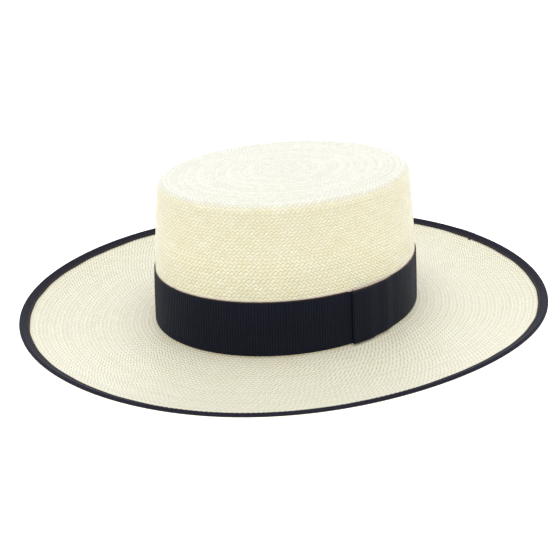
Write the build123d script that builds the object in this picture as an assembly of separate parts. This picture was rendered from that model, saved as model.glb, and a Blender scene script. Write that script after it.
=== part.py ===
"""A flat-crowned, wide-brimmed hat woven from fine straw, with its ribbons, sweatband and small bow.

Frame: +Z up, the wearer looks along -Y and their left is +X. The origin is in the middle of the hat, on
the surface that the brim rests on. Lengths are millimetres.

Everything wraps the same oval. A place on the hat is a bearing round the oval (0 in front, 90 on the
wearer's left, 180 behind), an offset outside the head oval, square to it, and a height above the foot of
the hat band. Walls of one thickness and a brim of one width follow from that by themselves.
"""
from build123d import *
import math
import os

# --- Size of the head and of the hat ---
HEAD_LENGTH = 201.0  # inside the sweatband, front to back
HEAD_WIDTH = 166.2  # inside the sweatband, side to side
CROWN_HEIGHT = 106.4  # foot of the hat band to the top of the crown
CROWN_LEAN = 0.030  # inward lean of the crown's side at its foot, mm per mm
CROWN_LEAN_GAIN = 0.00040  # extra lean, so that the side closes in towards the top
CROWN_EDGE_RADIUS = 7.2  # rounding between the crown's side and its flat top
BREAK_RADIUS = 1.2  # rounding between the crown's side and the brim, under the foot of the hat band
BRIM_WIDTH = 96.6  # from the hat band to the brim's bound edge
BRIM_RISE = 11.7  # the bound edge stands this far above the foot of the hat band
BRIM_EDGE_SLOPE = 0.53  # the brim's upward slope where it ends, mm per mm
BRIM_TILT = 4.7  # height of the brim edge's slow waves, as blocked by hand: one crest round the hat,
BRIM_SADDLE = 1.07  # two crests,
BRIM_RIPPLE = 0.65  # three
BRIM_FLUTTER = 0.64  # and four

# --- Materials ---
STRAW_WALL = 0.8
BAND_WALL = 0.8
BINDING_WALL = 0.3
SWEATBAND_WALL = 1.2
WELT_WALL = 0.25
THREAD = 0.4  # thickness of the sewing thread

# --- Clearances ---
LAY_GAP = 0.1  # between two plies that are sewn together
SWEATBAND_GAP = 0.8  # between the sweatband and the straw, which holds the welt's flange
THREAD_GAP = 0.05  # under a thread

# --- Trims ---
BAND_HEIGHT = 40.0
BAND_LAP_BEARING = 92.7  # the folded end of the hat band, on the wearer's left
BAND_LAP_LENGTH = 30.0  # how far the two ends of the hat band lie on each other
BAND_FOLD = 12.0  # length of ribbon turned under at the end
BAND_EASE = 14.0  # length over which the upper ply comes down past a ply below
BAND_TACKS = 8
BAND_TACK_LENGTH = 1.4
LAP_STITCHES = 7
BINDING_WIDTH = 6.5  # the ribbon's width on each side of the brim
BINDING_SEAM_INSET = 1.3  # its stitching, in from the ribbon's selvedge
SWEATBAND_HEIGHT = 35.0
SWEATBAND_SEAM = 1.8  # its stitching, above its lower edge
SWEATBAND_JOINT_GAP = 0.4
JOINT_STITCHES = 9
JOINT_STITCH_LENGTH = 3.2
JOINT_TAB_WIDTH = 12.0
JOINT_TAB_HEIGHT = 24.0
JOINT_TAB_WALL = 0.5
WELT_BULB_RADIUS = 1.0
WELT_HEIGHT = -1.5  # middle of the welt's bulb, above the foot of the hat band
WELT_OFFSET = 1.2  # middle of the welt's bulb, outside the head oval
WELT_FLANGE = 6.0  # height of its two flat edges behind the sweatband
REED_CLEARANCE = 0.1
BOW_LENGTH = 30.0
BOW_RIBBON = 9.0
BOW_WALL = 0.4
BOW_DEPTH = 2.6
BOW_WAIST = 6.0  # width of the knot
BOW_LIFT = 4.0  # the bow's lower edge, above the sweatband's

STATIONS = 48  # points on each ring round the hat
ARC_STEP = 3.0  # degrees between the points of an upright wall's plan
ARC_SPANS = 8  # such steps in one of its faces
SPAN = 10.0  # upright walls follow the crown's lean in spans of about this height

# --- The oval, and levels outside it ---
HEAD_A = HEAD_LENGTH / 2
HEAD_B = HEAD_WIDTH / 2
BACK = 180.0  # bearing of the middle of the back
SWEATBAND_FOOT = WELT_HEIGHT + WELT_BULB_RADIUS + LAY_GAP
STRAW_INNER = SWEATBAND_WALL + SWEATBAND_GAP
STRAW_OUTER = STRAW_INNER + STRAW_WALL
BAND_INNER = STRAW_OUTER + LAY_GAP
BAND_OUTER = BAND_INNER + BAND_WALL
BRIM_END = BAND_OUTER + BRIM_WIDTH  # outside of the binding
STRAW_END = BRIM_END - BINDING_WALL - LAY_GAP  # the straw's own cut edge
BRIM_SLOPE = (BRIM_EDGE_SLOPE - 3 * (BRIM_RISE + BREAK_RADIUS) / BRIM_WIDTH) / 2  # downward, at the crown
BRIM_CURVE = (BRIM_EDGE_SLOPE + BRIM_SLOPE) / (3 * BRIM_WIDTH**2)
BRIM_WAVES = ((1, BRIM_TILT, 52.3), (2, BRIM_SADDLE, 107.8), (3, BRIM_RIPPLE, 343.3),
              (4, BRIM_FLUTTER, 11.5))  # crests round the hat, their height, and the bearing of one


def normal_of(bearing):
    """The direction straight out of the oval at a bearing."""
    t = math.radians(bearing)
    x, y = HEAD_A * math.sin(t), -HEAD_B * math.cos(t)
    length = math.hypot(x, y)
    return x / length, y / length


def plan(bearing, offset):
    """X and Y of a place at an offset outside the head oval."""
    t = math.radians(bearing)
    nx, ny = normal_of(bearing)
    return HEAD_B * math.sin(t) + offset * nx, -HEAD_A * math.cos(t) + offset * ny


def bearing_at(bearing, distance, offset):
    """The bearing that lies a distance further round, measured along the line at that offset."""
    steps = max(1, math.ceil(abs(distance)))
    for _ in range(steps):
        x0, y0 = plan(bearing - 0.05, offset)
        x1, y1 = plan(bearing + 0.05, offset)
        bearing += distance / steps * 0.1 / math.hypot(x1 - x0, y1 - y0)
    return bearing


def ease(share):
    """A smooth rise from 0 to 1."""
    share = min(1.0, max(0.0, share))
    return share**3 * (10 - 15 * share + 6 * share**2)


# --- The straw's outside, as a profile of offset, height and the angle of its normal ---
def lean_at(height):
    """How far the crown's side has closed in at a height."""
    return CROWN_LEAN * height + CROWN_LEAN_GAIN * height**2


def lean_angle(height):
    """The angle that the normal of the crown's side points up by."""
    return math.atan(CROWN_LEAN + 2 * CROWN_LEAN_GAIN * height)


def brim_height(offset):
    """Height of the brim's top, without its waves."""
    out = offset - BAND_OUTER
    return -BREAK_RADIUS - BRIM_SLOPE * out + BRIM_CURVE * out**3


def brim_angle(offset):
    """The brim's slope there, as an angle."""
    return math.atan(-BRIM_SLOPE + 3 * BRIM_CURVE * (offset - BAND_OUTER)**2)


def wave(bearing, offset):
    """The brim's waves, which grow from nothing at the crown."""
    height = sum(h * math.cos(math.radians(n * (bearing - crest))) for n, h, crest in BRIM_WAVES)
    return height * ease((offset - BAND_OUTER) / BRIM_WIDTH)


def crown_edge_profile():
    """From the rim of the flat top, round the crown's edge."""
    centre_z = CROWN_HEIGHT - CROWN_EDGE_RADIUS
    angle = lean_angle(centre_z)
    join_z = centre_z + CROWN_EDGE_RADIUS * math.sin(angle)
    centre_d = STRAW_OUTER - lean_at(join_z) - CROWN_EDGE_RADIUS * math.cos(angle)
    steps = 8
    profile = []
    for i in range(steps + 1):
        turn = math.pi / 2 + (angle - math.pi / 2) * i / steps
        profile.append((centre_d + CROWN_EDGE_RADIUS * math.cos(turn),
                        centre_z + CROWN_EDGE_RADIUS * math.sin(turn), turn))
    return profile


def crown_side_profile(top, foot):
    """Down the crown's side, between two heights and without them."""
    steps = 6
    heights = [top + (foot - top) * i / steps for i in range(1, steps)]
    return [(STRAW_OUTER - lean_at(z), z, lean_angle(z)) for z in heights]


def break_profile():
    """Round the hollow where the crown turns into the brim. Its last point lies on the brim."""
    centre_d = STRAW_OUTER + BREAK_RADIUS
    slope = brim_angle(centre_d)
    foot_d = centre_d + BREAK_RADIUS * math.sin(slope)
    centre_z = brim_height(foot_d) + BREAK_RADIUS * math.cos(slope)
    first = lean_angle(centre_z)
    last = math.pi / 2 + slope
    steps = 6
    turns = [first + (last - first) * i / steps for i in range(steps + 1)]
    lean = lean_at(centre_z)
    return [(centre_d - BREAK_RADIUS * math.cos(t) - lean * (1 - i / steps),
             centre_z - BREAK_RADIUS * math.sin(t), t) for i, t in enumerate(turns)]


def brim_profile(first, last):
    """Out along the top of the brim. Its last point is the straw's own edge."""
    steps = 13
    offsets = [first + (last - first) * i / steps for i in range(1, steps + 1)]
    return [(d, brim_height(d), math.pi / 2 + brim_angle(d)) for d in offsets]


def straw_profile():
    """The whole outside of the straw, from the rim of the flat top to the brim's edge."""
    edge = crown_edge_profile()
    hollow = break_profile()
    side = crown_side_profile(edge[-1][1], hollow[0][1])
    return edge + side + hollow + brim_profile(hollow[-1][0], STRAW_END)


def moved(profile, distance):
    """A profile moved along its normals: out of the straw, or into it where the distance is negative."""
    return [(d + distance * math.cos(t), z + distance * math.sin(t)) for d, z, t in profile]


def rest_depth():
    """How far the underside reaches below the foot of the hat band."""
    under = moved(straw_profile(), -STRAW_WALL)
    bearings = [i * 360 / STATIONS for i in range(STATIONS)]
    return -min(z + wave(bearing, d) for d, z in under for bearing in bearings)


LIFT = rest_depth()  # the foot of the hat band stands this far above the origin


# --- Making solids ---
def place(bearing, offset, height):
    """A point of the hat in its frame."""
    x, y = plan(bearing, offset)
    return x, y, height + wave(bearing, offset) + LIFT


def ring(offset, height):
    """A closed line right round the hat."""
    points = [place(i * 360 / STATIONS, offset, height) for i in range(STATIONS)]
    return Edge.make_spline(points, periodic=True)


def skins(rings):
    """Ruled faces, each between a ring and the next."""
    return [Face.make_surface_from_curves(a, b) for a, b in zip(rings, rings[1:])]


def hoop(outline):
    """A solid right round the hat, from the closed outline of its section."""
    rings = [ring(d, z) for d, z in outline]
    return Solid(Shell(skins(rings + rings[:1])))


def plan_edges(line, height):
    """One line of a plan outline, at a height on the crown's lean, as edges of a few steps each."""
    points = [plan(bearing, offset - lean_at(height)) + (height + LIFT,) for bearing, offset in line]
    if len(points) == 2:
        return [Edge.make_line(*points)]
    return [Edge.make_spline(points[i:i + ARC_SPANS + 1]) for i in range(0, len(points) - 1, ARC_SPANS)]


def upright(outline, foot, top):
    """A wall that stands on a plan outline of (bearing, offset) lines, leaning in as the crown does."""
    spans = max(1, math.ceil((top - foot) / SPAN))
    heights = [foot + (top - foot) * i / spans for i in range(spans + 1)]
    levels = [[edge for line in outline for edge in plan_edges(line, height)] for height in heights]
    sides = [face for column in zip(*levels) for face in skins(column)]
    caps = [Face(Wire(levels[0])), Face(Wire(levels[-1]))]
    return Solid(Shell(sides + caps))


def closed_outline(line, back):
    """Two lines that run opposite ways, with the short links between their ends."""
    return [line, [line[-1], back[0]], back, [back[-1], line[0]]]


def strip(start, end, inner, outer, foot, top):
    """An upright strip from one bearing to another. inner and outer give its faces' offsets at a bearing."""
    steps = max(3, math.ceil(abs(end - start) / ARC_STEP))
    bearings = [start + (end - start) * i / steps for i in range(steps + 1)]
    out = [(b, outer(b)) for b in bearings]
    back = [(b, inner(b)) for b in reversed(bearings)]
    return upright(closed_outline(out, back), foot, top)


def block(bearing, length, inner, outer, foot, top):
    """A short strip, centred on a bearing."""
    half = length / 2
    middle = (inner + outer) / 2
    return strip(bearing_at(bearing, -half, middle), bearing_at(bearing, half, middle),
                 lambda b: inner, lambda b: outer, foot, top)


# --- The pieces ---
def make_straw_body():
    """Crown and brim, woven in one piece: a shell of one wall with a flat top."""
    outside = [ring(d, z) for d, z in moved(straw_profile(), 0)]
    inside = [ring(d, z) for d, z in moved(straw_profile(), -STRAW_WALL)]
    faces = skins(outside + inside[::-1])
    caps = [Face(Wire([outside[0]])), Face(Wire([inside[0]]))]
    return Solid(Shell(faces + caps))


def binding_layer():
    """The top of the brim under the binding, as a profile."""
    steps = 4
    first = BRIM_END - BINDING_WIDTH
    offsets = [first + (STRAW_END - first) * i / steps for i in range(steps + 1)]
    return [(d, brim_height(d), math.pi / 2 + brim_angle(d)) for d in offsets]


def make_brim_binding():
    """Ribbon folded over the straw's edge and sewn through it."""
    layer = binding_layer()
    near = LAY_GAP
    far = LAY_GAP + BINDING_WALL
    edge_d, edge_z, turn = layer[-1]
    (middle_d, middle_z), = moved([(edge_d, edge_z, turn)], -STRAW_WALL / 2)
    slope = turn - math.pi / 2

    def nose(reach):
        """Round the straw's cut edge, from over it to under it."""
        out = [reach * math.cos(math.radians(a)) for a in (60, 30, 0, -30, -60)]
        up = [(STRAW_WALL / 2 + reach) * math.sin(math.radians(a)) for a in (60, 30, 0, -30, -60)]
        return [(middle_d + o * math.cos(slope) - u * math.sin(slope),
                 middle_z + o * math.sin(slope) + u * math.cos(slope)) for o, u in zip(out, up)]

    outside = moved(layer, far) + nose(far) + moved(layer, -STRAW_WALL - far)[::-1]
    inside = moved(layer, near) + nose(near) + moved(layer, -STRAW_WALL - near)[::-1]
    return hoop(outside + inside[::-1])


def thread_hoop(offset, height):
    """A row of stitching drawn as one thread, right round the hat."""
    radius = THREAD / 2
    turns = [math.radians(60 * i) for i in range(6)]
    return hoop([(offset + radius * math.cos(t), height + radius * math.sin(t)) for t in turns])


def make_binding_thread():
    """The row of stitching on both sides of the binding."""
    seam = BRIM_END - BINDING_WIDTH + BINDING_SEAM_INSET
    profile = [(seam, brim_height(seam), math.pi / 2 + brim_angle(seam))]
    rise = LAY_GAP + BINDING_WALL + THREAD_GAP + THREAD / 2
    rows = moved(profile, rise) + moved(profile, -STRAW_WALL - rise)
    return Compound([thread_hoop(d, z) for d, z in rows])


def band_lift(bearing):
    """How far the hat band's upper ply stands off, over its own fold and over the plain end."""
    plies = 0
    for covered in (BAND_FOLD, BAND_LAP_LENGTH):
        last = bearing_at(BAND_LAP_BEARING, covered, BAND_OUTER)
        down = bearing_at(last, BAND_EASE, BAND_OUTER)
        plies += 1 - ease((bearing - last) / (down - last))
    return plies * (BAND_WALL + LAY_GAP)


def band_line(first, last, inset):
    """The outer face of the hat band, or its inner face where the inset is the ribbon's thickness."""
    steps = math.ceil((last - first) / ARC_STEP)
    bearings = [first + (last - first) * i / steps for i in range(steps + 1)]
    return [(b, BAND_OUTER + band_lift(b) - inset) for b in bearings]


def make_hat_band():
    """Ribbon once round the crown. Its finished end is turned under and lies over its plain end."""
    fold = bearing_at(BAND_LAP_BEARING, BAND_FOLD, BAND_OUTER)
    plain_end = bearing_at(BAND_LAP_BEARING, BAND_LAP_LENGTH, BAND_OUTER) + 360
    under = BAND_OUTER + LAY_GAP  # the turned end lies on the ply below
    outside = band_line(BAND_LAP_BEARING, plain_end, 0)
    inside = band_line(fold, plain_end, BAND_WALL)[::-1]
    turned = [(b, under) for b in (fold, (fold + BAND_LAP_BEARING) / 2, BAND_LAP_BEARING)]
    lines = (outside, inside, turned)
    outline = []
    for line, following in zip(lines, (inside, turned, outside)):
        outline += [line, [line[-1], following[0]]]
    return upright(outline, 0, BAND_HEIGHT)


def make_hat_band_tacks():
    """Thread tacks over the hat band's upper edge."""
    bearings = [BAND_LAP_BEARING + (i + 1) * 360 / (BAND_TACKS + 1) for i in range(BAND_TACKS)]
    foot = BAND_HEIGHT + THREAD_GAP
    reach = BAND_OUTER + THREAD / 2
    return Compound([block(b, BAND_TACK_LENGTH, BAND_INNER, reach, foot, foot + THREAD) for b in bearings])


def make_lap_stitches():
    """Stitches that hold the folded end down on the ply below."""
    first = bearing_at(BAND_LAP_BEARING, -THREAD - THREAD_GAP, BAND_OUTER)
    last = bearing_at(BAND_LAP_BEARING, -THREAD_GAP, BAND_OUTER)
    inner = BAND_OUTER + THREAD_GAP
    outer = BAND_OUTER + LAY_GAP + BAND_WALL
    pitch = BAND_HEIGHT / LAP_STITCHES
    feet = [(i + 0.5) * pitch for i in range(LAP_STITCHES)]
    return Compound([strip(first, last, lambda b: inner, lambda b: outer, z, z + THREAD) for z in feet])


def make_sweatband():
    """A strip of leather round the inside, its ends butted together behind."""
    half = SWEATBAND_JOINT_GAP / 2
    start = bearing_at(BACK, half, 0)
    end = bearing_at(BACK, -half, 0) + 360
    top = SWEATBAND_FOOT + SWEATBAND_HEIGHT
    return strip(start, end, lambda b: 0, lambda b: SWEATBAND_WALL, SWEATBAND_FOOT, top)


def make_sweatband_thread():
    """The row of stitching along the sweatband's lower edge."""
    height = SWEATBAND_FOOT + SWEATBAND_SEAM
    return thread_hoop(-lean_at(height) - THREAD / 2 - THREAD_GAP, height)


def make_joint_stitches():
    """Stitches across the sweatband's joint, on its inner face."""
    clear = SWEATBAND_FOOT + BOW_LIFT + BOW_RIBBON + THREAD
    pitch = (SWEATBAND_FOOT + SWEATBAND_HEIGHT - clear) / JOINT_STITCHES
    feet = [clear + (i + 0.5) * pitch for i in range(JOINT_STITCHES)]
    inner = -THREAD_GAP - THREAD
    return Compound([block(BACK, JOINT_STITCH_LENGTH, inner, -THREAD_GAP, z, z + THREAD) for z in feet])


def make_joint_tab():
    """A patch behind the sweatband's joint."""
    foot = SWEATBAND_FOOT + WELT_FLANGE + LAY_GAP
    inner = SWEATBAND_WALL + 2 * LAY_GAP
    return block(BACK, JOINT_TAB_WIDTH, inner, inner + JOINT_TAB_WALL, foot, foot + JOINT_TAB_HEIGHT)


def make_welt_tape():
    """Tape folded round the reed, with both its edges standing up behind the sweatband."""
    top = SWEATBAND_FOOT + WELT_FLANGE
    middle = SWEATBAND_WALL + SWEATBAND_GAP / 2
    steps = 12

    def loop(radius, reach):
        """Down the far face of the tape, round the bulb and up the near face."""
        far = middle + reach - WELT_OFFSET
        near = middle - reach - WELT_OFFSET
        first = math.acos(far / radius)
        last = math.acos(near / radius) - 2 * math.pi
        turns = [first + (last - first) * i / steps for i in range(steps + 1)]
        bulb = [(radius * math.cos(t), WELT_HEIGHT + radius * math.sin(t)) for t in turns]
        return [(far, top)] + bulb + [(near, top)]

    outside = loop(WELT_BULB_RADIUS, LAY_GAP / 2 + WELT_WALL)
    inside = loop(WELT_BULB_RADIUS - WELT_WALL, LAY_GAP / 2)
    return hoop([(WELT_OFFSET + d - lean_at(max(z, 0)), z) for d, z in outside + inside[::-1]])


def make_welt_reed():
    """The round reed that stiffens the welt."""
    radius = WELT_BULB_RADIUS - WELT_WALL - REED_CLEARANCE
    turns = [math.radians(30 * i) for i in range(12)]
    return hoop([(WELT_OFFSET + radius * math.cos(t), WELT_HEIGHT + radius * math.sin(t)) for t in turns])


def bow_depth(distance):
    """How far the bow's loops stand off the sweatband, at a distance from its middle."""
    share = (abs(distance) - BOW_WAIST / 2) / (BOW_LENGTH / 2 - BOW_WAIST / 2)
    belly = math.sin(math.pi * min(1.0, max(0.0, share)))
    return 2 * BOW_WALL + LAY_GAP + (BOW_DEPTH - 2 * BOW_WALL - LAY_GAP) * belly


def bow_line(first, last, offset_at):
    """A line of the bow's outline, along the sweatband."""
    steps = 20
    distances = [first + (last - first) * i / steps for i in range(steps + 1)]
    return [(bearing_at(BACK, distance, 0), offset_at(distance)) for distance in distances]


def make_rear_bow():
    """The small bow's two loops, made of one ribbon that is closed at the waist."""
    foot = SWEATBAND_FOOT + BOW_LIFT
    half = BOW_LENGTH / 2
    near = -LAY_GAP
    flat_side = bow_line(-half, half, lambda x: near)
    looped_side = bow_line(half, -half, lambda x: near - bow_depth(x))
    body = upright(closed_outline(flat_side, looped_side), foot, foot + BOW_RIBBON)
    for side in (-1, 1):
        waist, tip = side * BOW_WAIST / 2, side * (half - BOW_WALL)
        hollow = closed_outline(bow_line(waist, tip, lambda x: near - BOW_WALL),
                                bow_line(tip, waist, lambda x: near - bow_depth(x) + BOW_WALL))
        body -= upright(hollow, foot - 1, foot + BOW_RIBBON + 1)
    return body


def make_rear_bow_knot():
    """The short ribbon wrapped round the bow's waist, from the sweatband over its front and back."""
    bow_foot = SWEATBAND_FOOT + BOW_LIFT
    foot = bow_foot - LAY_GAP - BOW_WALL
    top = bow_foot + BOW_RIBBON + LAY_GAP + BOW_WALL
    front = -LAY_GAP - bow_depth(0) - 2 * LAY_GAP
    knot = block(BACK, BOW_WAIST, front - BOW_WALL, -LAY_GAP, foot, top)
    return knot - block(BACK, BOW_WAIST + 1, front, 1, bow_foot - LAY_GAP, bow_foot + BOW_RIBBON + LAY_GAP)


PIECES = {
    "straw_body": make_straw_body,
    "brim_binding": make_brim_binding,
    "binding_thread": make_binding_thread,
    "hat_band": make_hat_band,
    "hat_band_tacks": make_hat_band_tacks,
    "hat_band_lap_stitches": make_lap_stitches,
    "sweatband": make_sweatband,
    "sweatband_thread": make_sweatband_thread,
    "sweatband_joint_stitches": make_joint_stitches,
    "sweatband_joint_tab": make_joint_tab,
    "welt_tape": make_welt_tape,
    "welt_reed": make_welt_reed,
    "rear_bow": make_rear_bow,
    "rear_bow_knot": make_rear_bow_knot,
}

os.makedirs("parts", exist_ok=True)
for name, make in PIECES.items():
    export_step(make(), f"parts/{name}.step")
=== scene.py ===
"""A flat-crowned, wide-brimmed hat woven from fine straw, dressed over its measured solids.

A place on the hat is a bearing round the head oval (0 in front, 90 on the wearer's left, 180 behind), an
offset outside that oval and a height above the foot of the hat band. Lengths are millimetres until a piece
is laid down; Blender's own are metres.
"""
import math
import bmesh
import bpy
import numpy as np
from mathutils import Matrix, Vector


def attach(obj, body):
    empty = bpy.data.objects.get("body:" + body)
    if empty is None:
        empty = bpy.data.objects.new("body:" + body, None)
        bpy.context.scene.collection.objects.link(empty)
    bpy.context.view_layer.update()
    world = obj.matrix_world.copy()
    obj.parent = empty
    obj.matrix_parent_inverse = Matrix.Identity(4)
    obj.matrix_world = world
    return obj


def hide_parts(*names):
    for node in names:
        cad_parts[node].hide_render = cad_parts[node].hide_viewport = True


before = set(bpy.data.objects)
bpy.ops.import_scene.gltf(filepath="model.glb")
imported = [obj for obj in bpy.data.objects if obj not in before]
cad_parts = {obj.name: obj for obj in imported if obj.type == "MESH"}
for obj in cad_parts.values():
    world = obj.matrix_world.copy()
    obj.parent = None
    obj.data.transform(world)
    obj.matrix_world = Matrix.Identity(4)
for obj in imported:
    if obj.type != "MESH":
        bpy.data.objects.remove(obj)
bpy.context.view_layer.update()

MM = 0.001

# --- The head, the crown and the brim, as in the part's own source ---
HEAD_LENGTH = 201.0
HEAD_WIDTH = 166.2
HEAD_A = HEAD_LENGTH / 2
HEAD_B = HEAD_WIDTH / 2
CROWN_HEIGHT = 106.4
CROWN_LEAN = 0.030
CROWN_LEAN_GAIN = 0.00040
CROWN_EDGE_RADIUS = 7.2
BREAK_RADIUS = 1.2
BRIM_WIDTH = 96.6
BRIM_RISE = 11.7
BRIM_EDGE_SLOPE = 0.53
# The brim's waves: how many crests round the hat, their height and the bearing of one.
BRIM_WAVES = ((1, 4.7, 52.3), (2, 1.07, 107.8), (3, 0.65, 343.3), (4, 0.64, 11.5))
LIFT = 5.3054  # the foot of the hat band stands this far above the surface that the hat rests on
STRAW_WALL = 0.8
SWEATBAND_WALL = 1.2
STRAW_INNER = 2.0
STRAW_OUTER = STRAW_INNER + STRAW_WALL
LAY_GAP = 0.1
BAND_WALL = 0.8
BAND_OUTER = STRAW_OUTER + LAY_GAP + BAND_WALL
BINDING_WALL = 0.3
BINDING_WIDTH = 6.5
BRIM_END = BAND_OUTER + BRIM_WIDTH
STRAW_END = BRIM_END - BINDING_WALL - LAY_GAP
BRIM_SLOPE = (BRIM_EDGE_SLOPE - 3 * (BRIM_RISE + BREAK_RADIUS) / BRIM_WIDTH) / 2
BRIM_CURVE = (BRIM_EDGE_SLOPE + BRIM_SLOPE) / (3 * BRIM_WIDTH**2)

BAND_HEIGHT = 40.0
BAND_LAP_BEARING = 92.7
BAND_LAP_LENGTH = 30.0
BAND_FOLD = 12.0
BAND_EASE = 14.0
BAND_TACKS = 8
LAP_STITCHES = 7
THREAD = 0.4
THREAD_GAP = 0.05
BINDING_SEAM_INSET = 1.3
SWEATBAND_HEIGHT = 35.0
SWEATBAND_FOOT = -0.4
SWEATBAND_SEAM = 1.8
SWEATBAND_JOINT_GAP = 0.4
SWEATBAND_GAP = 0.8
JOINT_STITCHES = 9
JOINT_STITCH_LENGTH = 3.2
JOINT_TAB_WIDTH = 12.0
JOINT_TAB_HEIGHT = 24.0
JOINT_TAB_WALL = 0.5
WELT_BULB_RADIUS = 1.0
WELT_HEIGHT = -1.5
WELT_OFFSET = 1.2
WELT_FLANGE = 6.0
WELT_WALL = 0.25
BOW_LENGTH = 30.0
BOW_RIBBON = 9.0
BOW_WALL = 0.4
BOW_DEPTH = 2.6
BOW_WAIST = 6.0
BOW_LIFT = 4.0
BACK = 180.0

# --- The ribbons' ribs and the stitches ---
BAND_RIB = 1.95  # from one rib of the hat band to the next
BAND_RIB_RELIEF = 0.15
LAP_RIB_SHARE = 0.3  # of that relief, on the pressed end that laps over
LAP_PRESSED = 78.0  # how long the pressed end is
LAP_PRESSED_FADE = 12.0  # over which its ribs come back
COVERED_DROP = 0.55  # how much lower the plies that lie under the lap end
FOLD_POINTS = 12  # of the band's path, along the ply that is turned under
NOSE_POINTS = 9  # of its path, round the fold
FOLD_CORNER = 1.5  # how far the fold's upper corner stands up
FOLD_CORNER_STEP = 15  # the step of the band's path where it does so most
FOLD_CORNER_STEPS = 3.5  # how many steps it fades over
BINDING_RIB = 1.15
BINDING_RIB_RELIEF = 0.12
BINDING_ROLL = 0.45  # how much thicker the ribbon is where it rolls over the cut edge
BINDING_JOIN_BEARING = 186.3
BINDING_LAP = 4.2  # degrees that its lapped end takes
BINDING_CORNER = 1.3  # how far the folded corner of that end stands in over the straw
BINDING_CORNER_WIDTH = 0.35  # degrees
STITCH_PITCH = 3.1
STITCH_LENGTH = 2.3

# --- The weave ---
STRAND_PITCH = 3.23  # round the hat, between the strands of one family
EDGE_STRANDS_FEWER = 16  # in each family at the crown's upper edge, where the rounds are shorter
BRIM_STRAND_SPREAD = 1.04  # how much wider apart the strands are on the brim
WEAVE_RELIEF = 0.32  # from the top of a strand to the gap beside it
UNDERSIDE_RELIEF = 0.2
WEAVE_WANDER = 0.32  # how far hand-woven rows stray
WEAVE_SLANT = 0.26  # sideways drift of the weave's columns on the way down
JOIN_LEVEL = 0.6  # height of the weave where two rounds meet, between its gaps at 0 and its strands at 1
SECOND_FAMILY = 5000  # keeps the numbers of the second family's strands apart from the first's
CROWN_FOOT_TOP = 38.0  # where the crown's foot begins, just under the top of the hat band
BRIM_START = 5.2  # offset where the brim's first round begins
# Rounds of the tip, as shares of its size: outer rim, inner rim, strands and double rows.
TIP_ROUNDS = ((1.0, 0.75, 141, 5), (0.75, 0.5, 100, 5), (0.5, 0.3125, 65, 4), (0.3125, 0.1875, 40, 3),
              (0.1875, 0.0625, 20, 3), (0.0625, 0.015, 8, 1))
TIP_GAP = 0.2
BRIM_ROUNDS = (4, 4, 3, 3, 3)  # double rows in each
EDGE_POINTS = 25  # of the profile, round the crown's edge
HOLLOW_POINTS = 13  # in the hollow between the crown and the brim

# --- The straw's tones. Heights are metres above the table, from none of a tone to all of it ---
WHITE = (1.0, 1.0, 1.0)
STRAW_PALE = (0.865, 0.84, 0.645)
STRAW_WARM = (0.81, 0.755, 0.50)
STRAW_GREEN = (0.93 * 0.865, 0.98 * 0.84, 0.92 * 0.645)
# The strands' darker edges, with painted shade in the gaps between them.
GAP_SHADE_TONE = (0.52, 0.47, 0.30)
GAP_SHADE_SHARE = 0.36
CORNER_SHADE_TONE = (0.235, 0.20, 0.12)  # painted shade in the dots where four strands meet
ROOT_SHADE_TONE = (0.965, 0.94, 0.90)  # painted shade, a touch warm, where the crown shades the brim's root
ROOT_REACH = 30.0  # how far out from the head it goes, in millimetres
ROOT_FADE = (0.8, 1.12)  # as shares of that oval
ROOT_TOP = (0.04, 0.045)
TOP_LIGHT_TONE = (0.82, 0.82, 0.785)  # painted light: paler where the straw faces up
TOP_LIGHT_SHARE = 0.32
# Painted light: the flat tip paler and greyer.
TIP_LIGHT_TONE = (0.73, 0.747, 0.71)
TIP_LIGHT_SHARE = 0.55
TIP_START = (0.1075, 0.1113)
UPPER_SIDE_SHADE_TONE = (0.91, 0.905, 0.90)  # painted shade that darkens the upper part of the crown's side
UPPER_SIDE_SHADE_START = (0.072, 0.104)
UPPER_SIDE_SHADE_END = (0.1083, 0.1113)
EDGE_START = (0.1062, 0.1092)  # the crown's edge, where the painted shade in the gaps and crossings is weaker
EDGE_END = (0.1112, 0.1117)
EDGE_GAP_SHADE = 0.6
BAND_EDGE_HIGHLIGHT_TONE = (0.98, 0.83, 0.70)  # a painted highlight line along the hat band's upper edge
BAND_EDGE_HIGHLIGHT_SHARE = 0.65
EDGE_BROWN_TONE = (0.055, 0.034, 0.022)  # brown along one edge of the ribbons

random = np.random.default_rng(7)


def plan(bearing, offset):
    """X and Y of a place at an offset outside the head oval."""
    turn = np.radians(bearing)
    out_x, out_y = HEAD_A * np.sin(turn), -HEAD_B * np.cos(turn)
    length = np.hypot(out_x, out_y)
    return HEAD_B * np.sin(turn) + offset * out_x / length, -HEAD_A * np.cos(turn) + offset * out_y / length


def ease(share):
    """A smooth rise from 0 to 1."""
    share = np.clip(share, 0.0, 1.0)
    return share**3 * (10 - 15 * share + 6 * share**2)


def lean_at(height):
    """How far the crown's side has closed in at a height."""
    return CROWN_LEAN * height + CROWN_LEAN_GAIN * height**2


def lean_angle(height):
    """The angle that the normal of the crown's side points up by."""
    return np.arctan(CROWN_LEAN + 2 * CROWN_LEAN_GAIN * height)


def brim_height(offset):
    """Height of the brim's top, without its waves."""
    out = offset - BAND_OUTER
    return -BREAK_RADIUS - BRIM_SLOPE * out + BRIM_CURVE * out**3


def brim_angle(offset):
    """The brim's slope there, as an angle."""
    return np.arctan(-BRIM_SLOPE + 3 * BRIM_CURVE * (offset - BAND_OUTER) ** 2)


def wave(bearing, offset):
    """The brim's waves, which grow from nothing at the crown."""
    height = sum(h * np.cos(np.radians(n * (bearing - crest))) for n, h, crest in BRIM_WAVES)
    return height * ease((offset - BAND_OUTER) / BRIM_WIDTH)


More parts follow.
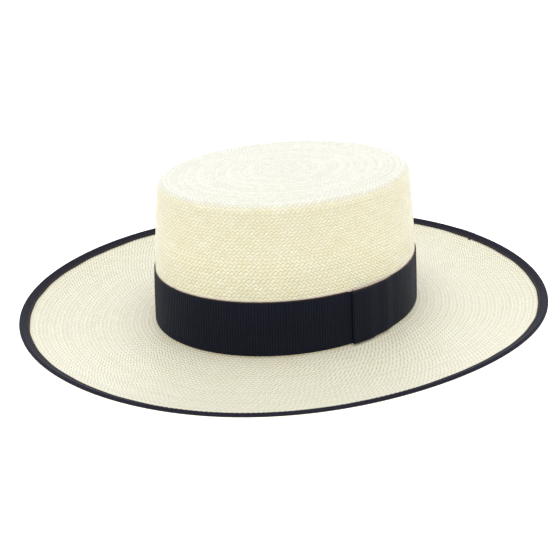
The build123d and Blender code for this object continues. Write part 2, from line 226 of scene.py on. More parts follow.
def run_along(x, y):
    """How far along a line each of its points lies."""
    return np.concatenate([[0], np.cumsum(np.hypot(np.diff(x), np.diff(y)))])


def even_bearings(shares, offset):
    """Bearings that lie at even distances along the line at an offset. A share of 1 is once round."""
    table = np.linspace(0, 360, 1441)
    run = run_along(*plan(table, offset))
    return np.interp(shares % 1.0, run / run[-1], table) + 360 * np.floor(shares)


def length_round(offset):
    """The length of the line at an offset."""
    x, y = plan(np.linspace(0, 360, 1441), offset)
    return float(np.hypot(np.diff(x), np.diff(y)).sum())


def straw_profile():
    """The straw's outside as rows of offset, height and normal angle, from the tip's rim outwards."""
    centre_z = CROWN_HEIGHT - CROWN_EDGE_RADIUS
    angle = lean_angle(centre_z)
    join_z = centre_z + CROWN_EDGE_RADIUS * np.sin(angle)
    centre_d = STRAW_OUTER - lean_at(join_z) - CROWN_EDGE_RADIUS * np.cos(angle)
    turn = np.linspace(np.pi / 2, angle, EDGE_POINTS)
    edge = np.stack([centre_d + CROWN_EDGE_RADIUS * np.cos(turn),
                     centre_z + CROWN_EDGE_RADIUS * np.sin(turn), turn], axis=1)
    hollow_d = STRAW_OUTER + BREAK_RADIUS
    slope = brim_angle(hollow_d)
    foot_d = hollow_d + BREAK_RADIUS * np.sin(slope)
    hollow_z = brim_height(foot_d) + BREAK_RADIUS * np.cos(slope)
    turn = np.linspace(lean_angle(hollow_z), np.pi / 2 + slope, HOLLOW_POINTS)
    lean = lean_at(hollow_z) * np.linspace(1, 0, HOLLOW_POINTS)
    hollow = np.stack([hollow_d - BREAK_RADIUS * np.cos(turn) - lean,
                       hollow_z - BREAK_RADIUS * np.sin(turn), turn], axis=1)
    heights = np.linspace(edge[-1, 1], hollow[0, 1], 42)[1:-1]
    side = np.stack([STRAW_OUTER - lean_at(heights), heights, lean_angle(heights)], axis=1)
    offsets = np.linspace(hollow[-1, 0], STRAW_END, 61)[1:]
    brim = np.stack([offsets, brim_height(offsets), np.pi / 2 + brim_angle(offsets)], axis=1)
    return np.concatenate([edge, side, hollow, brim])


PROFILE = straw_profile()
PROFILE_RUN = run_along(PROFILE[:, 0], PROFILE[:, 1])
TIP_RIM = float(PROFILE[0, 0])


def run_at_height(height):
    """How far down the profile the crown's side reaches a height."""
    side = PROFILE[:, 2] < 1.2
    return float(np.interp(-height, -PROFILE[side, 1], PROFILE_RUN[side]))


def run_at_offset(offset):
    """How far down the profile the brim reaches an offset."""
    brim = PROFILE_RUN > run_at_height(0.5)
    return float(np.interp(offset, PROFILE[brim, 0], PROFILE_RUN[brim]))


def straw_place(bearing, run, depth):
    """A point of the straw, at a depth below its outside. A run below 0 lies on the flat tip."""
    rim_x, rim_y = plan(bearing, TIP_RIM)
    share = 1 + np.minimum(run, 0) / HEAD_B
    offset, height, turn = (np.interp(np.maximum(run, 0), PROFILE_RUN, part) for part in PROFILE.T)
    offset = offset - depth * np.cos(turn)
    x, y = plan(bearing, offset)
    x = np.where(run < 0, rim_x * share, x)
    y = np.where(run < 0, rim_y * share, y)
    z = height - depth * np.sin(turn) + wave(bearing, offset) + LIFT
    return x, y, z


# --- Modelling ---
def only(*pieces):
    """Select these pieces and nothing else."""
    bpy.ops.object.select_all(action="DESELECT")
    for piece in pieces:
        piece.select_set(True)
    bpy.context.view_layer.objects.active = pieces[0]


def grid(name, columns, rows):
    """A flat grid, the start of a piece that is wrapped round the hat."""
    bpy.ops.object.select_all(action="DESELECT")
    bpy.ops.mesh.primitive_grid_add(x_subdivisions=columns, y_subdivisions=rows, size=1)
    piece = bpy.context.object
    piece.name = piece.data.name = name
    return piece


def lay(piece, x, y, z):
    """Put a piece's points down, in millimetres."""
    piece.data.vertices.foreach_set("co", (np.stack([x, y, z], axis=-1).reshape(-1) * MM).astype(np.float32))
    piece.data.update()


def chart(piece, name, u, v):
    """Give every corner of a piece the position of its point on a named chart.

    A weave's chart is in crossings. A ribbon's is in centimetres along it and across it, but the binding's
    is in ribs and in steps round its section.
    """
    corners = np.empty(len(piece.data.loops), dtype=np.int32)
    piece.data.loops.foreach_get("vertex_index", corners)
    pairs = np.stack([u.reshape(-1)[corners], v.reshape(-1)[corners]], axis=-1)
    piece.data.uv_layers[0].data.foreach_set("uv", pairs.reshape(-1).astype(np.float32))
    piece.data.uv_layers[0].name = name


def edit(piece):
    """Open a piece for shaping, with nothing selected."""
    only(piece)
    bpy.ops.object.mode_set(mode="EDIT")
    bpy.ops.mesh.select_all(action="DESELECT")


def close_edit():
    """Leave a piece that was opened for shaping."""
    bpy.ops.object.mode_set(mode="OBJECT")


def weld(piece, distance):
    """Open a piece for shaping and join its points that lie within a distance of each other."""
    edit(piece)
    bpy.ops.mesh.select_mode(type="VERT")
    bpy.ops.mesh.select_all(action="SELECT")
    bpy.ops.mesh.remove_doubles(threshold=distance * MM)


def face_out():
    """Turn the faces of the open piece outwards and leave it."""
    bpy.ops.mesh.select_all(action="SELECT")
    bpy.ops.mesh.normals_make_consistent(inside=False)
    close_edit()


def pick(piece, *lines):
    """Select the points of an open piece's lines."""
    bpy.ops.mesh.select_all(action="DESELECT")
    for line in lines:
        piece.vertex_groups.active = piece.vertex_groups[line]
        bpy.ops.object.vertex_group_select()


def split_faces(piece, columns, steps):
    """Cut a grid's faces in two, along one diagonal in its even rows and along the other in its odd rows."""
    edit(piece)
    bpy.ops.mesh.select_mode(type="FACE")
    close_edit()
    piece.data.polygons.foreach_set("select", np.arange(columns * steps) // columns % 2 == 0)
    bpy.ops.object.mode_set(mode="EDIT")
    bpy.ops.mesh.quads_convert_to_tris(quad_method="FIXED_ALTERNATE")
    bpy.ops.mesh.select_all(action="SELECT")
    bpy.ops.mesh.quads_convert_to_tris(quad_method="FIXED")
    close_edit()


def strand_height(across_u, across_v, fineness, uneven):
    """Height of the weave, 0 in its gaps and 1 on its strands, at whole steps along both families."""
    i, j = across_u // fineness, across_v // fineness
    a, b = (across_u % fineness) / fineness, (across_v % fineness) / fineness
    place = (i + j) % 4
    first = place < 2
    across = np.where(first, b, a)
    along = np.where(first, (place + a) / 2, (place - 2 + b) / 2)
    strand = np.where(first, j, i + SECOND_FAMILY) % len(uneven)
    crown = np.minimum(1.0, np.sin(np.pi * across) * 1.18)
    arch = np.sin(np.pi * along) ** 0.55
    return crown * arch * uneven[strand]


def sheet_of_weave(label, strands, rows, start, end, fineness, under):
    """A round of the weave between two runs of the profile, on the straw's outside or its underside."""
    columns, steps = strands * fineness, 4 * fineness * rows
    piece = grid(label, columns, steps)
    row, column = np.mgrid[0:steps + 1, 0:columns + 1]
    step_u = column + (row + row % 2) // 2
    step_v = (row - row % 2) // 2 - column
    uneven = 1 - 0.28 * random.random(997)
    height = strand_height(step_u, step_v, fineness, uneven)
    edge = np.minimum(row, steps - row) / (2 * fineness)
    height = JOIN_LEVEL + (height - JOIN_LEVEL) * np.clip(edge * 2, 0, 1)
    share = (column + 0.5 * (row % 2)) / columns
    run = start + (end - start) * row / steps
    slack = np.clip(edge, 0, 1) * WEAVE_WANDER * min(1.0, 1.2 + end / HEAD_B * 1.2)
    phase = random.random(6) * 2 * np.pi
    turn = 2 * np.pi * share
    run = run + slack * (np.sin(23 * turn + phase[0] + run / 9) + np.sin(57 * turn + phase[1] - run / 6)) / 2
    middle = float(np.interp(max((start + end) / 2, 0), PROFILE_RUN, PROFILE[:, 0]))
    drift = slack * (np.sin(run / 7 + 5 * turn + phase[2]) + np.sin(run / 4 + 31 * turn + phase[3])) / 2
    drift = drift + WEAVE_SLANT * (run - start)
    bearing = even_bearings(share + 0.5 + drift / length_round(middle), middle)
    depth = (UNDERSIDE_RELIEF if under else WEAVE_RELIEF) * (1 - height)
    if under:
        depth = STRAW_WALL - depth
    lay(piece, *straw_place(bearing, run, depth))
    chart(piece, "weave", step_u / fineness, step_v / fineness)
    split_faces(piece, columns, steps)
    rim = np.arange(columns + 1)
    piece.vertex_groups.new(name=f"start_{label}").add(rim.tolist(), 1.0, "REPLACE")
    piece.vertex_groups.new(name=f"end_{label}").add((rim + steps * (columns + 1)).tolist(), 1.0, "REPLACE")
    return piece


def join_rounds(piece, outer, inner):
    """Close the narrow gap between two rounds with different counts of strands, going round both together."""
    shape = bmesh.new()
    shape.from_mesh(piece.data)
    shape.verts.ensure_lookup_table()
    marks = shape.verts.layers.deform.active
    charted = shape.loops.layers.uv.active
    lines = []
    for label in (outer, inner):
        group = piece.vertex_groups[label].index
        line = [v for v in shape.verts if group in v[marks]]
        line.sort(key=lambda v: (math.atan2(v.co.y, v.co.x) - 1e-4) % (2 * math.pi))
        lines.append(line)
    one, two = lines
    i = j = 0
    while i < len(one) or j < len(two):
        a, b = one[i % len(one)], two[j % len(two)]
        if j == len(two) or (i < len(one) and (i + 1) / len(one) <= (j + 1) / len(two)):
            corners = (a, one[(i + 1) % len(one)], b)
            i += 1
        else:
            corners = (a, two[(j + 1) % len(two)], b)
            j += 1
        face = shape.faces.new(corners)
        for loop in face.loops:
            loop[charted].uv = (0.5, 1.0)
    shape.to_mesh(piece.data)
    shape.free()


def woven(name, rounds, fine=3, coarse=2, closed=False):
    """A ring of the straw's whole thickness, from rounds of (strands, double rows, start, end)."""
    outside = [sheet_of_weave(f"0_{i}", *given, fine, False) for i, given in enumerate(rounds)]
    underside = [sheet_of_weave(f"1_{i}", *given, coarse, True) for i, given in enumerate(rounds)]
    for piece in underside:
        piece.data.flip_normals()
    only(*outside, *underside)
    bpy.ops.object.join()
    piece = bpy.context.object
    piece.name = piece.data.name = name
    weld(piece, 0.02)
    last = len(rounds) - 1
    pick(piece, "start_0_0", "start_1_0")
    bpy.ops.mesh.bridge_edge_loops()
    if closed:
        for layer in (0, 1):
            pick(piece, f"end_{layer}_{last}")
            bpy.ops.mesh.edge_face_add()
            bpy.ops.mesh.poke()
    else:
        pick(piece, f"end_0_{last}", f"end_1_{last}")
        bpy.ops.mesh.bridge_edge_loops()
    close_edit()
    for layer in (0, 1):
        for i in range(last):
            join_rounds(piece, f"end_{layer}_{i}", f"start_{layer}_{i + 1}")
    edit(piece)
    face_out()
    piece.vertex_groups.clear()
    piece.data.shade_smooth()
    return piece


def dress(piece, material):
    """Give a piece its material."""
    piece.data.materials.clear()
    piece.data.materials.append(material)


def finish(piece, material, node):
    """Give a piece its material, attach it to the hat's body and hide the part that it stands for."""
    dress(piece, material)
    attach(piece, "root")
    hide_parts(node)


# --- Shader nodes ---
def put(socket, value):
    """Link a socket to another's output, or give it a value."""
    if isinstance(value, bpy.types.NodeSocket):
        socket.id_data.links.new(value, socket)
    else:
        socket.default_value = value


class Nodes:
    """Adds nodes to a material or an effect. add gives the node itself, and the others what it puts out."""

    def __init__(self, tree):
        self.tree = tree

    def add(self, kind, *values, **named):
        """A node of a kind, with the values of its first sockets or of named ones."""
        node = self.tree.nodes.new("ShaderNode" + kind)
        for socket, value in zip(node.inputs, values):
            put(socket, value)
        for name, value in named.items():
            put(node.inputs[name], value)
        return node

    def maths(self, operation, *values):
        """One sum, by the name of its operation."""
        node = self.add("Math", *values)
        node.operation = operation
        return node.outputs[0]

    def times(self, a, b):
        return self.maths("MULTIPLY", a, b)

    def plus(self, a, b):
        return self.maths("ADD", a, b)

    def minus(self, a, b):
        return self.maths("SUBTRACT", a, b)

    def choose(self, share, a, b):
        """The value a where the share is 0, and b where it is 1."""
        return self.add("Mix", Factor=share, A=a, B=b).outputs["Result"]

    def tint(self, share, a, b, blend="MIX"):
        """The colour a where the share is 0, and b where it is 1, or their blend."""
        node = self.add("Mix")
        node.data_type = "RGBA"
        node.blend_type = blend
        put(node.inputs["Factor"], share)
        for name, value in (("A", a), ("B", b)):
            socket = [i for i in node.inputs if i.name == name and i.type == "RGBA"][0]
            put(socket, (*value, 1) if isinstance(value, tuple) else value)
        return [o for o in node.outputs if o.type == "RGBA"][0]

    def shade(self, share, colour, by):
        """A colour times another colour or times a value, by a share."""
        return self.tint(share, colour, by if isinstance(by, tuple) else self.join(by, by, by), "MULTIPLY")

    def spread(self, value, low, high, to_low=0.0, to_high=1.0, smooth=False):
        """A value stretched from one range to another, and held inside it."""
        node = self.add("MapRange", value, low, high, to_low, to_high)
        node.interpolation_type = "SMOOTHSTEP" if smooth else "LINEAR"
        return node.outputs["Result"]

    def rise(self, value, low, high):
        """A smooth rise from 0 to 1 between two values."""
        return self.spread(value, low, high, smooth=True)

    def fall(self, value, low, high):
        """A smooth fall from 1 to 0 between two values."""
        return self.spread(value, low, high, 1.0, 0.0, smooth=True)

    def join(self, x, y, z=0.0):
        return self.add("CombineXYZ", x, y, z).outputs[0]

    def split(self, vector):
        return self.add("SeparateXYZ", vector).outputs

    def cloud(self, vector, scale, detail=2.0, roughness=0.5):
        """Noise from 0 to 1."""
        return self.add("TexNoise", Vector=vector, Scale=scale, Detail=detail, Roughness=roughness).outputs[0]

    def lot(self, *values):
        """One random number from 0 to 1 for each set of two or three values."""
        return self.add("TexWhiteNoise", Vector=self.join(*values)).outputs["Value"]

    def bump(self, height, strength, distance):
        """A normal raised by a height, at a strength and over a distance in millimetres."""
        return self.add("Bump", Strength=strength, Distance=distance * MM, Height=height).outputs["Normal"]

    def place(self):
        """The place on the object, in metres."""
        return self.add("TexCoord").outputs["Object"]

    def chart(self, name):
        """The place on a named chart."""
        node = self.add("UVMap")
        node.uv_map = name
        return node.outputs["UV"]

    def use(self, group, **values):
        """The outputs of an effect, given this material's own values."""
        node = self.add("Group")
        node.node_tree = group
        for name, value in values.items():
            put(node.inputs[name], value)
        return node.outputs


def effect(name, inputs, outputs):
    """An empty node group, its sockets named in words. A chart or a place is a vector, all else a number."""
    tree = bpy.data.node_groups.new(name, "ShaderNodeTree")
    for words, way in ((inputs, "INPUT"), (outputs, "OUTPUT")):
        for word in words.split():
            kind = "NodeSocketVector" if word in ("Chart", "Place") else "NodeSocketFloat"
            tree.interface.new_socket(name=word, in_out=way, socket_type=kind)
    return Nodes(tree), tree.nodes.new("NodeGroupInput").outputs, tree.nodes.new("NodeGroupOutput").inputs


def start_material(name, roughness, specular, sheen=0.0, sheen_tint=WHITE, sheen_roughness=0.5):
    """A material with its shader's even values set."""
    material = bpy.data.materials.new(name)
    material.use_nodes = True
    shader = material.node_tree.nodes["Principled BSDF"].inputs
    for label, value in (("Roughness", roughness), ("Specular IOR Level", specular), ("Sheen Weight", sheen),
                         ("Sheen Tint", (*sheen_tint, 1)), ("Sheen Roughness", sheen_roughness)):
        shader[label].default_value = value
    return material, Nodes(material.node_tree)


def surface(material, colour, roughness, normal):
    """Give a material what changes over its surface."""
    shader = material.node_tree.nodes["Principled BSDF"].inputs
    for label, value in (("Base Color", colour), ("Roughness", roughness), ("Normal", normal)):
        put(shader[label], value)
    return material


def scaled(colour, share):
    """A colour times a number."""
    return tuple(c * share for c in colour)


# --- Effects, each placed in the materials with its own values ---
def make_strand_effect():
    """Finds the strand on top at a place of the weave's chart, where each unit square is one crossing."""
    n, given, out = effect("woven strands", "Chart", "Strand Float Gap Corner Fibre Crown Way Row")
    u, v, _ = n.split(given["Chart"])
    i, j = n.maths("FLOOR", u), n.maths("FLOOR", v)
    a, b = n.minus(u, i), n.minus(v, j)
    turn = n.plus(i, j)
    place = n.maths("FLOORED_MODULO", turn, 4.0)
    second = n.maths("GREATER_THAN", place, 1.5)
    across = n.choose(second, b, a)
    step = n.minus(place, n.times(second, 2.0))
    along = n.times(n.plus(step, n.choose(second, a, b)), 0.5)
    strand = n.choose(second, j, n.plus(i, SECOND_FAMILY + 0.5))
    side = n.maths("MINIMUM", across, n.minus(1.0, across))
    end = n.maths("MINIMUM", along, n.minus(1.0, along))
    rim = n.maths("MINIMUM", side, n.times(end, 1.5))
    meeting = n.plus(side, n.times(end, 2.0))
    put(out["Strand"], n.lot(strand, 3.7))
    put(out["Float"], n.lot(strand, n.maths("FLOOR", n.times(turn, 0.25)), 1.3))
    put(out["Gap"], n.fall(rim, 0.0, 0.12))
    put(out["Corner"], n.fall(meeting, 0.12, 0.56))
    put(out["Way"], second)
    put(out["Row"], n.lot(n.maths("FLOOR", n.times(turn, 0.5)), 2.9))
    put(out["Crown"], n.rise(rim, 0.05, 0.4))
    run = n.plus(n.choose(second, u, v), n.times(strand, 7.3))
    put(out["Fibre"], n.cloud(n.join(n.times(across, 9.0), n.times(run, 0.7), strand), 1.0, 3.0, 0.6))
    return n.tree


def make_mottle_effect():
    """Slow and fine variation of tone over the object."""
    n, given, out = effect("mottle", "Place Slow Fine", "Slow Fine")
    put(out["Slow"], n.spread(n.cloud(given["Place"], given["Slow"]), 0.3, 0.7))
    put(out["Fine"], n.spread(n.cloud(given["Place"], given["Fine"], 4.0, 0.65), 0.3, 0.7))
    return n.tree


def make_rib_effect():
    """Grosgrain: cords across the ribbon, covered by fine threads that run along it."""
    n, given, out = effect("grosgrain", "Ribs Threads Spread", "Groove Thread Height Cord")
    cord = n.spread(n.maths("COSINE", n.times(given["Ribs"], 2 * math.pi)), -1.0, 1.0)
    fine = n.maths("COSINE", n.times(given["Threads"], 2 * math.pi))
    wander = n.cloud(n.join(given["Ribs"], given["Threads"]), given["Spread"], 3.0)
    put(out["Cord"], n.lot(n.maths("ROUND", given["Ribs"]), 1.7))
    put(out["Groove"], n.fall(cord, 0.0, 0.5))
    put(out["Thread"], wander)
    put(out["Height"], n.plus(cord, n.plus(n.times(n.plus(fine, 1.0), 0.12), n.times(wander, 0.3))))
    return n.tree


def make_leather_effect():
    """Fine grain leather: pebbles of two sizes, pores and slow stains."""
    n, given, out = effect("leather grain", "Place Pebbles", "Height Crease Stain")
    cells = n.add("TexVoronoi", Vector=given["Place"], Scale=given["Pebbles"])
    cells.feature = "DISTANCE_TO_EDGE"
    crease = n.fall(cells.outputs["Distance"], 0.0, 0.16)
    rough = n.cloud(given["Place"], n.times(given["Pebbles"], 0.35), 4.0, 0.6)
    put(out["Crease"], crease)
    put(out["Height"], n.minus(rough, n.times(crease, 0.4)))
    put(out["Stain"], n.spread(n.cloud(given["Place"], 22.0, 3.0), 0.32, 0.68))
    return n.tree


def make_cloth_effect():
    """Plain woven cloth: threads over and under each other on a chart in threads."""
    n, given, out = effect("plain cloth", "Chart", "Height Tone Gap")
    u, v, _ = n.split(given["Chart"])
    i, j = n.maths("FLOOR", u), n.maths("FLOOR", v)
    warp, weft = (n.maths("ABSOLUTE", n.maths("SINE", n.times(way, math.pi))) for way in (u, v))
    odd = n.maths("FLOORED_MODULO", n.plus(i, j), 2.0)
    over, below = (n.times(a, n.maths("POWER", b, 0.5)) for a, b in ((warp, weft), (weft, warp)))
    put(out["Height"], n.choose(odd, over, below))
    put(out["Tone"], n.lot(n.choose(odd, i, 0.0), n.choose(odd, 0.0, j), odd))
    put(out["Gap"], n.fall(n.maths("MINIMUM", warp, weft), 0.0, 0.35))
    return n.tree


def make_thread_effect():
    """Twisted sewing thread: plies that wind round it. The chart runs round it and along it."""
    n, given, out = effect("twisted thread", "Chart Twists", "Height Ply")
    u, v, _ = n.split(given["Chart"])
    wound = n.plus(n.times(u, 2.0), n.times(v, given["Twists"]))
    wave = n.spread(n.maths("SINE", n.times(wound, 2 * math.pi)), -1.0, 1.0)
    put(out["Height"], wave)
    put(out["Ply"], n.fall(wave, 0.0, 0.45))
    return n.tree


STRANDS = make_strand_effect()
MOTTLE = make_mottle_effect()
GROSGRAIN = make_rib_effect()
LEATHER = make_leather_effect()
CLOTH = make_cloth_effect()
THREAD_PLIES = make_thread_effect()


# --- Materials ---
def straw_tones(n, weave, place):
    """The colour of each strand, before age and wear: pale or warm, some greener, with fibres and stains."""
    tone = n.use(MOTTLE, Place=place, Slow=70.0, Fine=240.0)
    colour = n.tint(n.spread(weave["Strand"], 0.2, 1.0, 0.0, 0.75), STRAW_PALE, STRAW_WARM)
    colour = n.tint(n.spread(weave["Float"], 0.7, 1.0, 0.0, 0.6), colour, STRAW_GREEN)
    colour = n.tint(n.times(tone["Slow"], 0.45), colour, STRAW_WARM)
    grain = n.spread(weave["Fibre"], 0.35, 0.7, 0.9, 1.03)
    colour = n.shade(1.0, colour, n.times(grain, n.spread(tone["Fine"], 0.0, 1.0, 0.96, 1.03)))
    return n.tint(n.times(weave["Way"], 0.05), colour, scaled(STRAW_PALE, 0.72))


def make_straw_material():
    """Bleached straw, with painted light making it palest on the tip and where it faces up, and painted shade
    deepening the crown's upper side and the brim's root.
    """
    material, n = start_material("bleached straw", 0.5, 0.6, 0.9, WHITE, 0.35)
    weave = n.use(STRANDS, Chart=n.chart("weave"))
    place = n.place()
    colour = straw_tones(n, weave, place)
    x, y, height = n.split(place)
    x, y = (n.times(side, 1 / MM / (half + ROOT_REACH)) for side, half in ((x, HEAD_B), (y, HEAD_A)))
    away = n.maths("SQRT", n.plus(n.times(x, x), n.times(y, y)))
    # painted shade on the brim's root and the straw next to the crown's foot
    root = n.times(n.fall(away, *ROOT_FADE), n.spread(height, *ROOT_TOP, 1.0, 0.0))
    colour = n.shade(root, colour, ROOT_SHADE_TONE)
    _, _, facing = n.split(n.add("NewGeometry").outputs["Normal"])
    # painted light: the straw paler where it faces up
    colour = n.tint(n.spread(facing, 0.6, 1.0, 0.0, TOP_LIGHT_SHARE, smooth=True), colour, TOP_LIGHT_TONE)
    # painted light: the tip paler and greyer
    on_tip = n.rise(height, *TIP_START)
    colour = n.tint(n.times(on_tip, TIP_LIGHT_SHARE), colour, TIP_LIGHT_TONE)
    rows = n.spread(weave["Row"], 0.0, 1.0, 0.925, 1.035)
    colour = n.shade(on_tip, colour, n.times(rows, n.spread(weave["Float"], 0.0, 1.0, 0.935, 1.055)))
    # painted shade: the upper part of the crown's side darker
    worn = n.times(n.spread(height, *UPPER_SIDE_SHADE_START), n.fall(height, *UPPER_SIDE_SHADE_END))
    colour = n.shade(worn, colour, UPPER_SIDE_SHADE_TONE)
    on_edge = n.times(n.rise(height, *EDGE_START), n.fall(height, *EDGE_END))
    # less painted shade in the gaps and crossings on the crown's edge
    softer = n.spread(on_edge, 0.0, 1.0, 1.0, EDGE_GAP_SHADE)
    # painted shade in the weave's gaps and crossings, the crossings darker where the straw faces up
    colour = n.tint(n.times(n.times(weave["Gap"], GAP_SHADE_SHARE), softer), colour, GAP_SHADE_TONE)
    corner_shade = n.times(n.spread(facing, 0.5, 0.9, 0.62, 1.0), softer)
    colour = n.tint(n.times(weave["Corner"], corner_shade), colour, CORNER_SHADE_TONE)
    above = n.minus(height, (BAND_HEIGHT + LIFT) * MM)
    # painted highlight: a light line along the hat band's upper edge
    band_edge_highlight = n.times(n.rise(above, -0.002, -0.001), n.fall(above, 0.0004, 0.0016))
    colour = n.tint(n.times(band_edge_highlight, BAND_EDGE_HIGHLIGHT_SHARE), colour, BAND_EDGE_HIGHLIGHT_TONE)
    relief = n.plus(weave["Crown"], n.times(weave["Fibre"], 0.35))
    return surface(material, colour, n.spread(weave["Fibre"], 0.3, 0.7, 0.42, 0.6), n.bump(relief, 1.0, 0.1))


def make_grosgrain_material(name, colour, groove_shade, ribs, threads, roughness, relief, gloss, brown_edge):
    """Ribbed ribbon, with painted shade between its ribs and brown along one edge. ribs and threads turn its
    chart into counts.

    The last argument gives where across the chart the brown starts and where it is at its most.
    """
    material, n = start_material(name, roughness, gloss, 0.05, (0.5, 0.6, 1.0), 0.4)
    x, y, _ = n.split(n.chart("ribbon"))
    cloth = n.use(GROSGRAIN, Ribs=n.times(x, ribs), Threads=n.times(y, threads), Spread=1.3)
    tone = n.use(MOTTLE, Place=n.place(), Slow=30.0, Fine=600.0)
    mixed = n.tint(n.spread(cloth["Cord"], 0.0, 1.0, 0.0, 0.5), colour, scaled(colour, 0.72))
    mixed = n.tint(n.times(tone["Slow"], 0.35), mixed, scaled(colour, 1.25))
    # painted shade in the grooves between the ribs
    mixed = n.tint(n.times(cloth["Groove"], 0.75), mixed, groove_shade)
    mixed = n.tint(n.spread(tone["Fine"], 0.5, 1.0, 0.0, 0.3), mixed, tuple(c * 1.6 + 0.002 for c in colour))
    mixed = n.tint(n.spread(y, *brown_edge, 0.0, 0.7, smooth=True), mixed, EDGE_BROWN_TONE)
    rough = n.spread(cloth["Thread"], 0.3, 0.7, roughness - 0.1, roughness + 0.12)
    return surface(material, mixed, rough, n.bump(cloth["Height"], 0.8, relief))


def make_thread_material(name, colour, dark, roughness):
    """Sewing thread, with its plies and painted shade between them, on pieces charted round and along each
    stitch.
    """
    material, n = start_material(name, roughness, 0.3, 0.1)
    plies = n.use(THREAD_PLIES, Chart=n.chart("stitch"), Twists=3.0)
    tone = n.use(MOTTLE, Place=n.place(), Slow=90.0, Fine=900.0)
    # painted shade between the thread's plies
    mixed = n.tint(n.times(plies["Ply"], 0.8), colour, dark)
    mixed = n.tint(n.times(tone["Slow"], 0.4), mixed, dark)
    rough = n.spread(tone["Fine"], 0.0, 1.0, roughness - 0.08, roughness + 0.1)
    return surface(material, mixed, rough, n.bump(plies["Height"], 0.7, 0.05))


def make_leather_material(name, colour, dark, worn):
    """Thin tan leather, with painted shade in its creases, and darker along its upper edge."""
    material, n = start_material(name, 0.46, 0.45)
    place = n.place()
    grain = n.use(LEATHER, Place=place, Pebbles=2400.0)
    tone = n.use(MOTTLE, Place=place, Slow=14.0, Fine=400.0)
    mixed = n.tint(grain["Stain"], colour, scaled(colour, 0.86))
    # painted shade in the creases of the grain
    mixed = n.tint(n.times(grain["Crease"], 0.28), mixed, dark)
    mixed = n.tint(n.spread(tone["Fine"], 0.55, 1.0, 0.0, 0.3), mixed, worn)
    _, height, _ = n.split(n.chart("ribbon"))
    edge = n.rise(n.plus(height, n.times(tone["Fine"], 0.05)), 3.38, 3.5)
    mixed = n.tint(n.times(edge, 0.55), mixed, dark)
    rough = n.spread(grain["Height"], 0.2, 0.8, 0.56, 0.38)
    return surface(material, mixed, rough, n.bump(grain["Height"], 0.5, 0.12))


def make_tape_material(name, colour, dark, threads):
    """Plain cotton tape, with painted shade in the gaps of its weave."""
    material, n = start_material(name, 0.85, 0.2, 0.2)
    x, y, _ = n.split(n.chart("ribbon"))
    cloth = n.use(CLOTH, Chart=n.join(n.times(x, threads), n.times(y, threads)))
    tone = n.use(MOTTLE, Place=n.place(), Slow=60.0, Fine=700.0)
    mixed = n.tint(n.times(cloth["Tone"], 0.3), colour, scaled(colour, 0.85))
    # painted shade in the gaps between the threads
    mixed = n.tint(n.times(cloth["Gap"], 0.6), mixed, dark)
    mixed = n.tint(n.times(tone["Slow"], 0.3), mixed, scaled(colour, 0.8))
    rough = n.spread(tone["Fine"], 0.0, 1.0, 0.78, 0.95)
    return surface(material, mixed, rough, n.bump(cloth["Height"], 0.7, 0.1))


def make_satin_material(name, colour, glint):
    """Satin ribbon: fine threads along it, with a soft shine."""
    material, n = start_material(name, 0.34, 0.5, 0.2, (0.7, 0.75, 0.9), 0.35)
    x, y, _ = n.split(n.chart("ribbon"))
    streaks = n.cloud(n.join(n.times(x, 1.2), n.times(y, 46.0)), 1.0, 3.0)
    tone = n.use(MOTTLE, Place=n.place(), Slow=120.0, Fine=1500.0)
    # painted highlight: glints in streaks along the satin
    mixed = n.tint(n.spread(streaks, 0.35, 0.75), colour, glint)
    mixed = n.tint(n.times(tone["Slow"], 0.4), mixed, scaled(colour, 0.6))
    return surface(material, mixed, n.spread(streaks, 0.3, 0.7, 0.27, 0.44), n.bump(streaks, 0.35, 0.04))


def make_reed_material(name, colour, dark):
    """A split and rounded reed, streaked along its length."""
    material, n = start_material(name, 0.5, 0.4)
    place = n.place()
    x, y, z = n.split(place)
    round_hat = n.maths("ARCTAN2", x, y)
    lines = n.join(n.times(round_hat, 6.0), n.times(z, 5200.0), n.times(n.plus(x, y), 9.0))
    streaks = n.cloud(lines, 1.0, 3.0)
    tone = n.use(MOTTLE, Place=place, Slow=50.0, Fine=1200.0)
    mixed = n.tint(n.spread(streaks, 0.35, 0.7), colour, dark)
    mixed = n.tint(n.times(tone["Fine"], 0.2), mixed, scaled(colour, 0.8))
    return surface(material, mixed, n.spread(streaks, 0.3, 0.7, 0.42, 0.62), n.bump(streaks, 0.4, 0.05))


# --- The straw ---
def make_straw():
    """The straw's pieces: the crown's edge, side and foot, then its tip, then the brim outwards."""
    foot_run = run_at_height(CROWN_FOOT_TOP)
    edge_run = float(PROFILE_RUN[EDGE_POINTS - 1])
    brim_run = run_at_offset(BRIM_START)
    middle_run = (edge_run + foot_run) / 2
    strands = round(length_round(STRAW_OUTER - lean_at(60)) / STRAND_PITCH)
    pieces = [woven("straw_crown_edge", [(strands - EDGE_STRANDS_FEWER, 2, 0.0, edge_run)]),
              woven("straw_crown_upper", [(strands, 7, edge_run, middle_run)]),
              woven("straw_crown_lower", [(strands, 6, middle_run, foot_run)]),
              woven("straw_crown_foot", [(strands, 9, foot_run, brim_run)], 2, 2)]
    tip = [(strands, rows, HEAD_B * (outer - 1) - TIP_GAP * (outer < 1), HEAD_B * (inner - 1))
           for outer, inner, strands, rows in TIP_ROUNDS]
    pieces.append(woven("straw_crown_tip", tip, closed=True))
    row_run = (float(PROFILE_RUN[-1]) - brim_run) / sum(BRIM_ROUNDS)
    first = brim_run
    for number, rows in enumerate(BRIM_ROUNDS):
        last = first + row_run * rows
        middle = float(np.interp((first + last) / 2, PROFILE_RUN, PROFILE[:, 0]))
        strands = round(length_round(middle) / (STRAND_PITCH * BRIM_STRAND_SPREAD))
        pieces.append(woven(f"straw_brim_round_{number + 1}", [(strands, rows, first, last)]))
        first = last
    return pieces


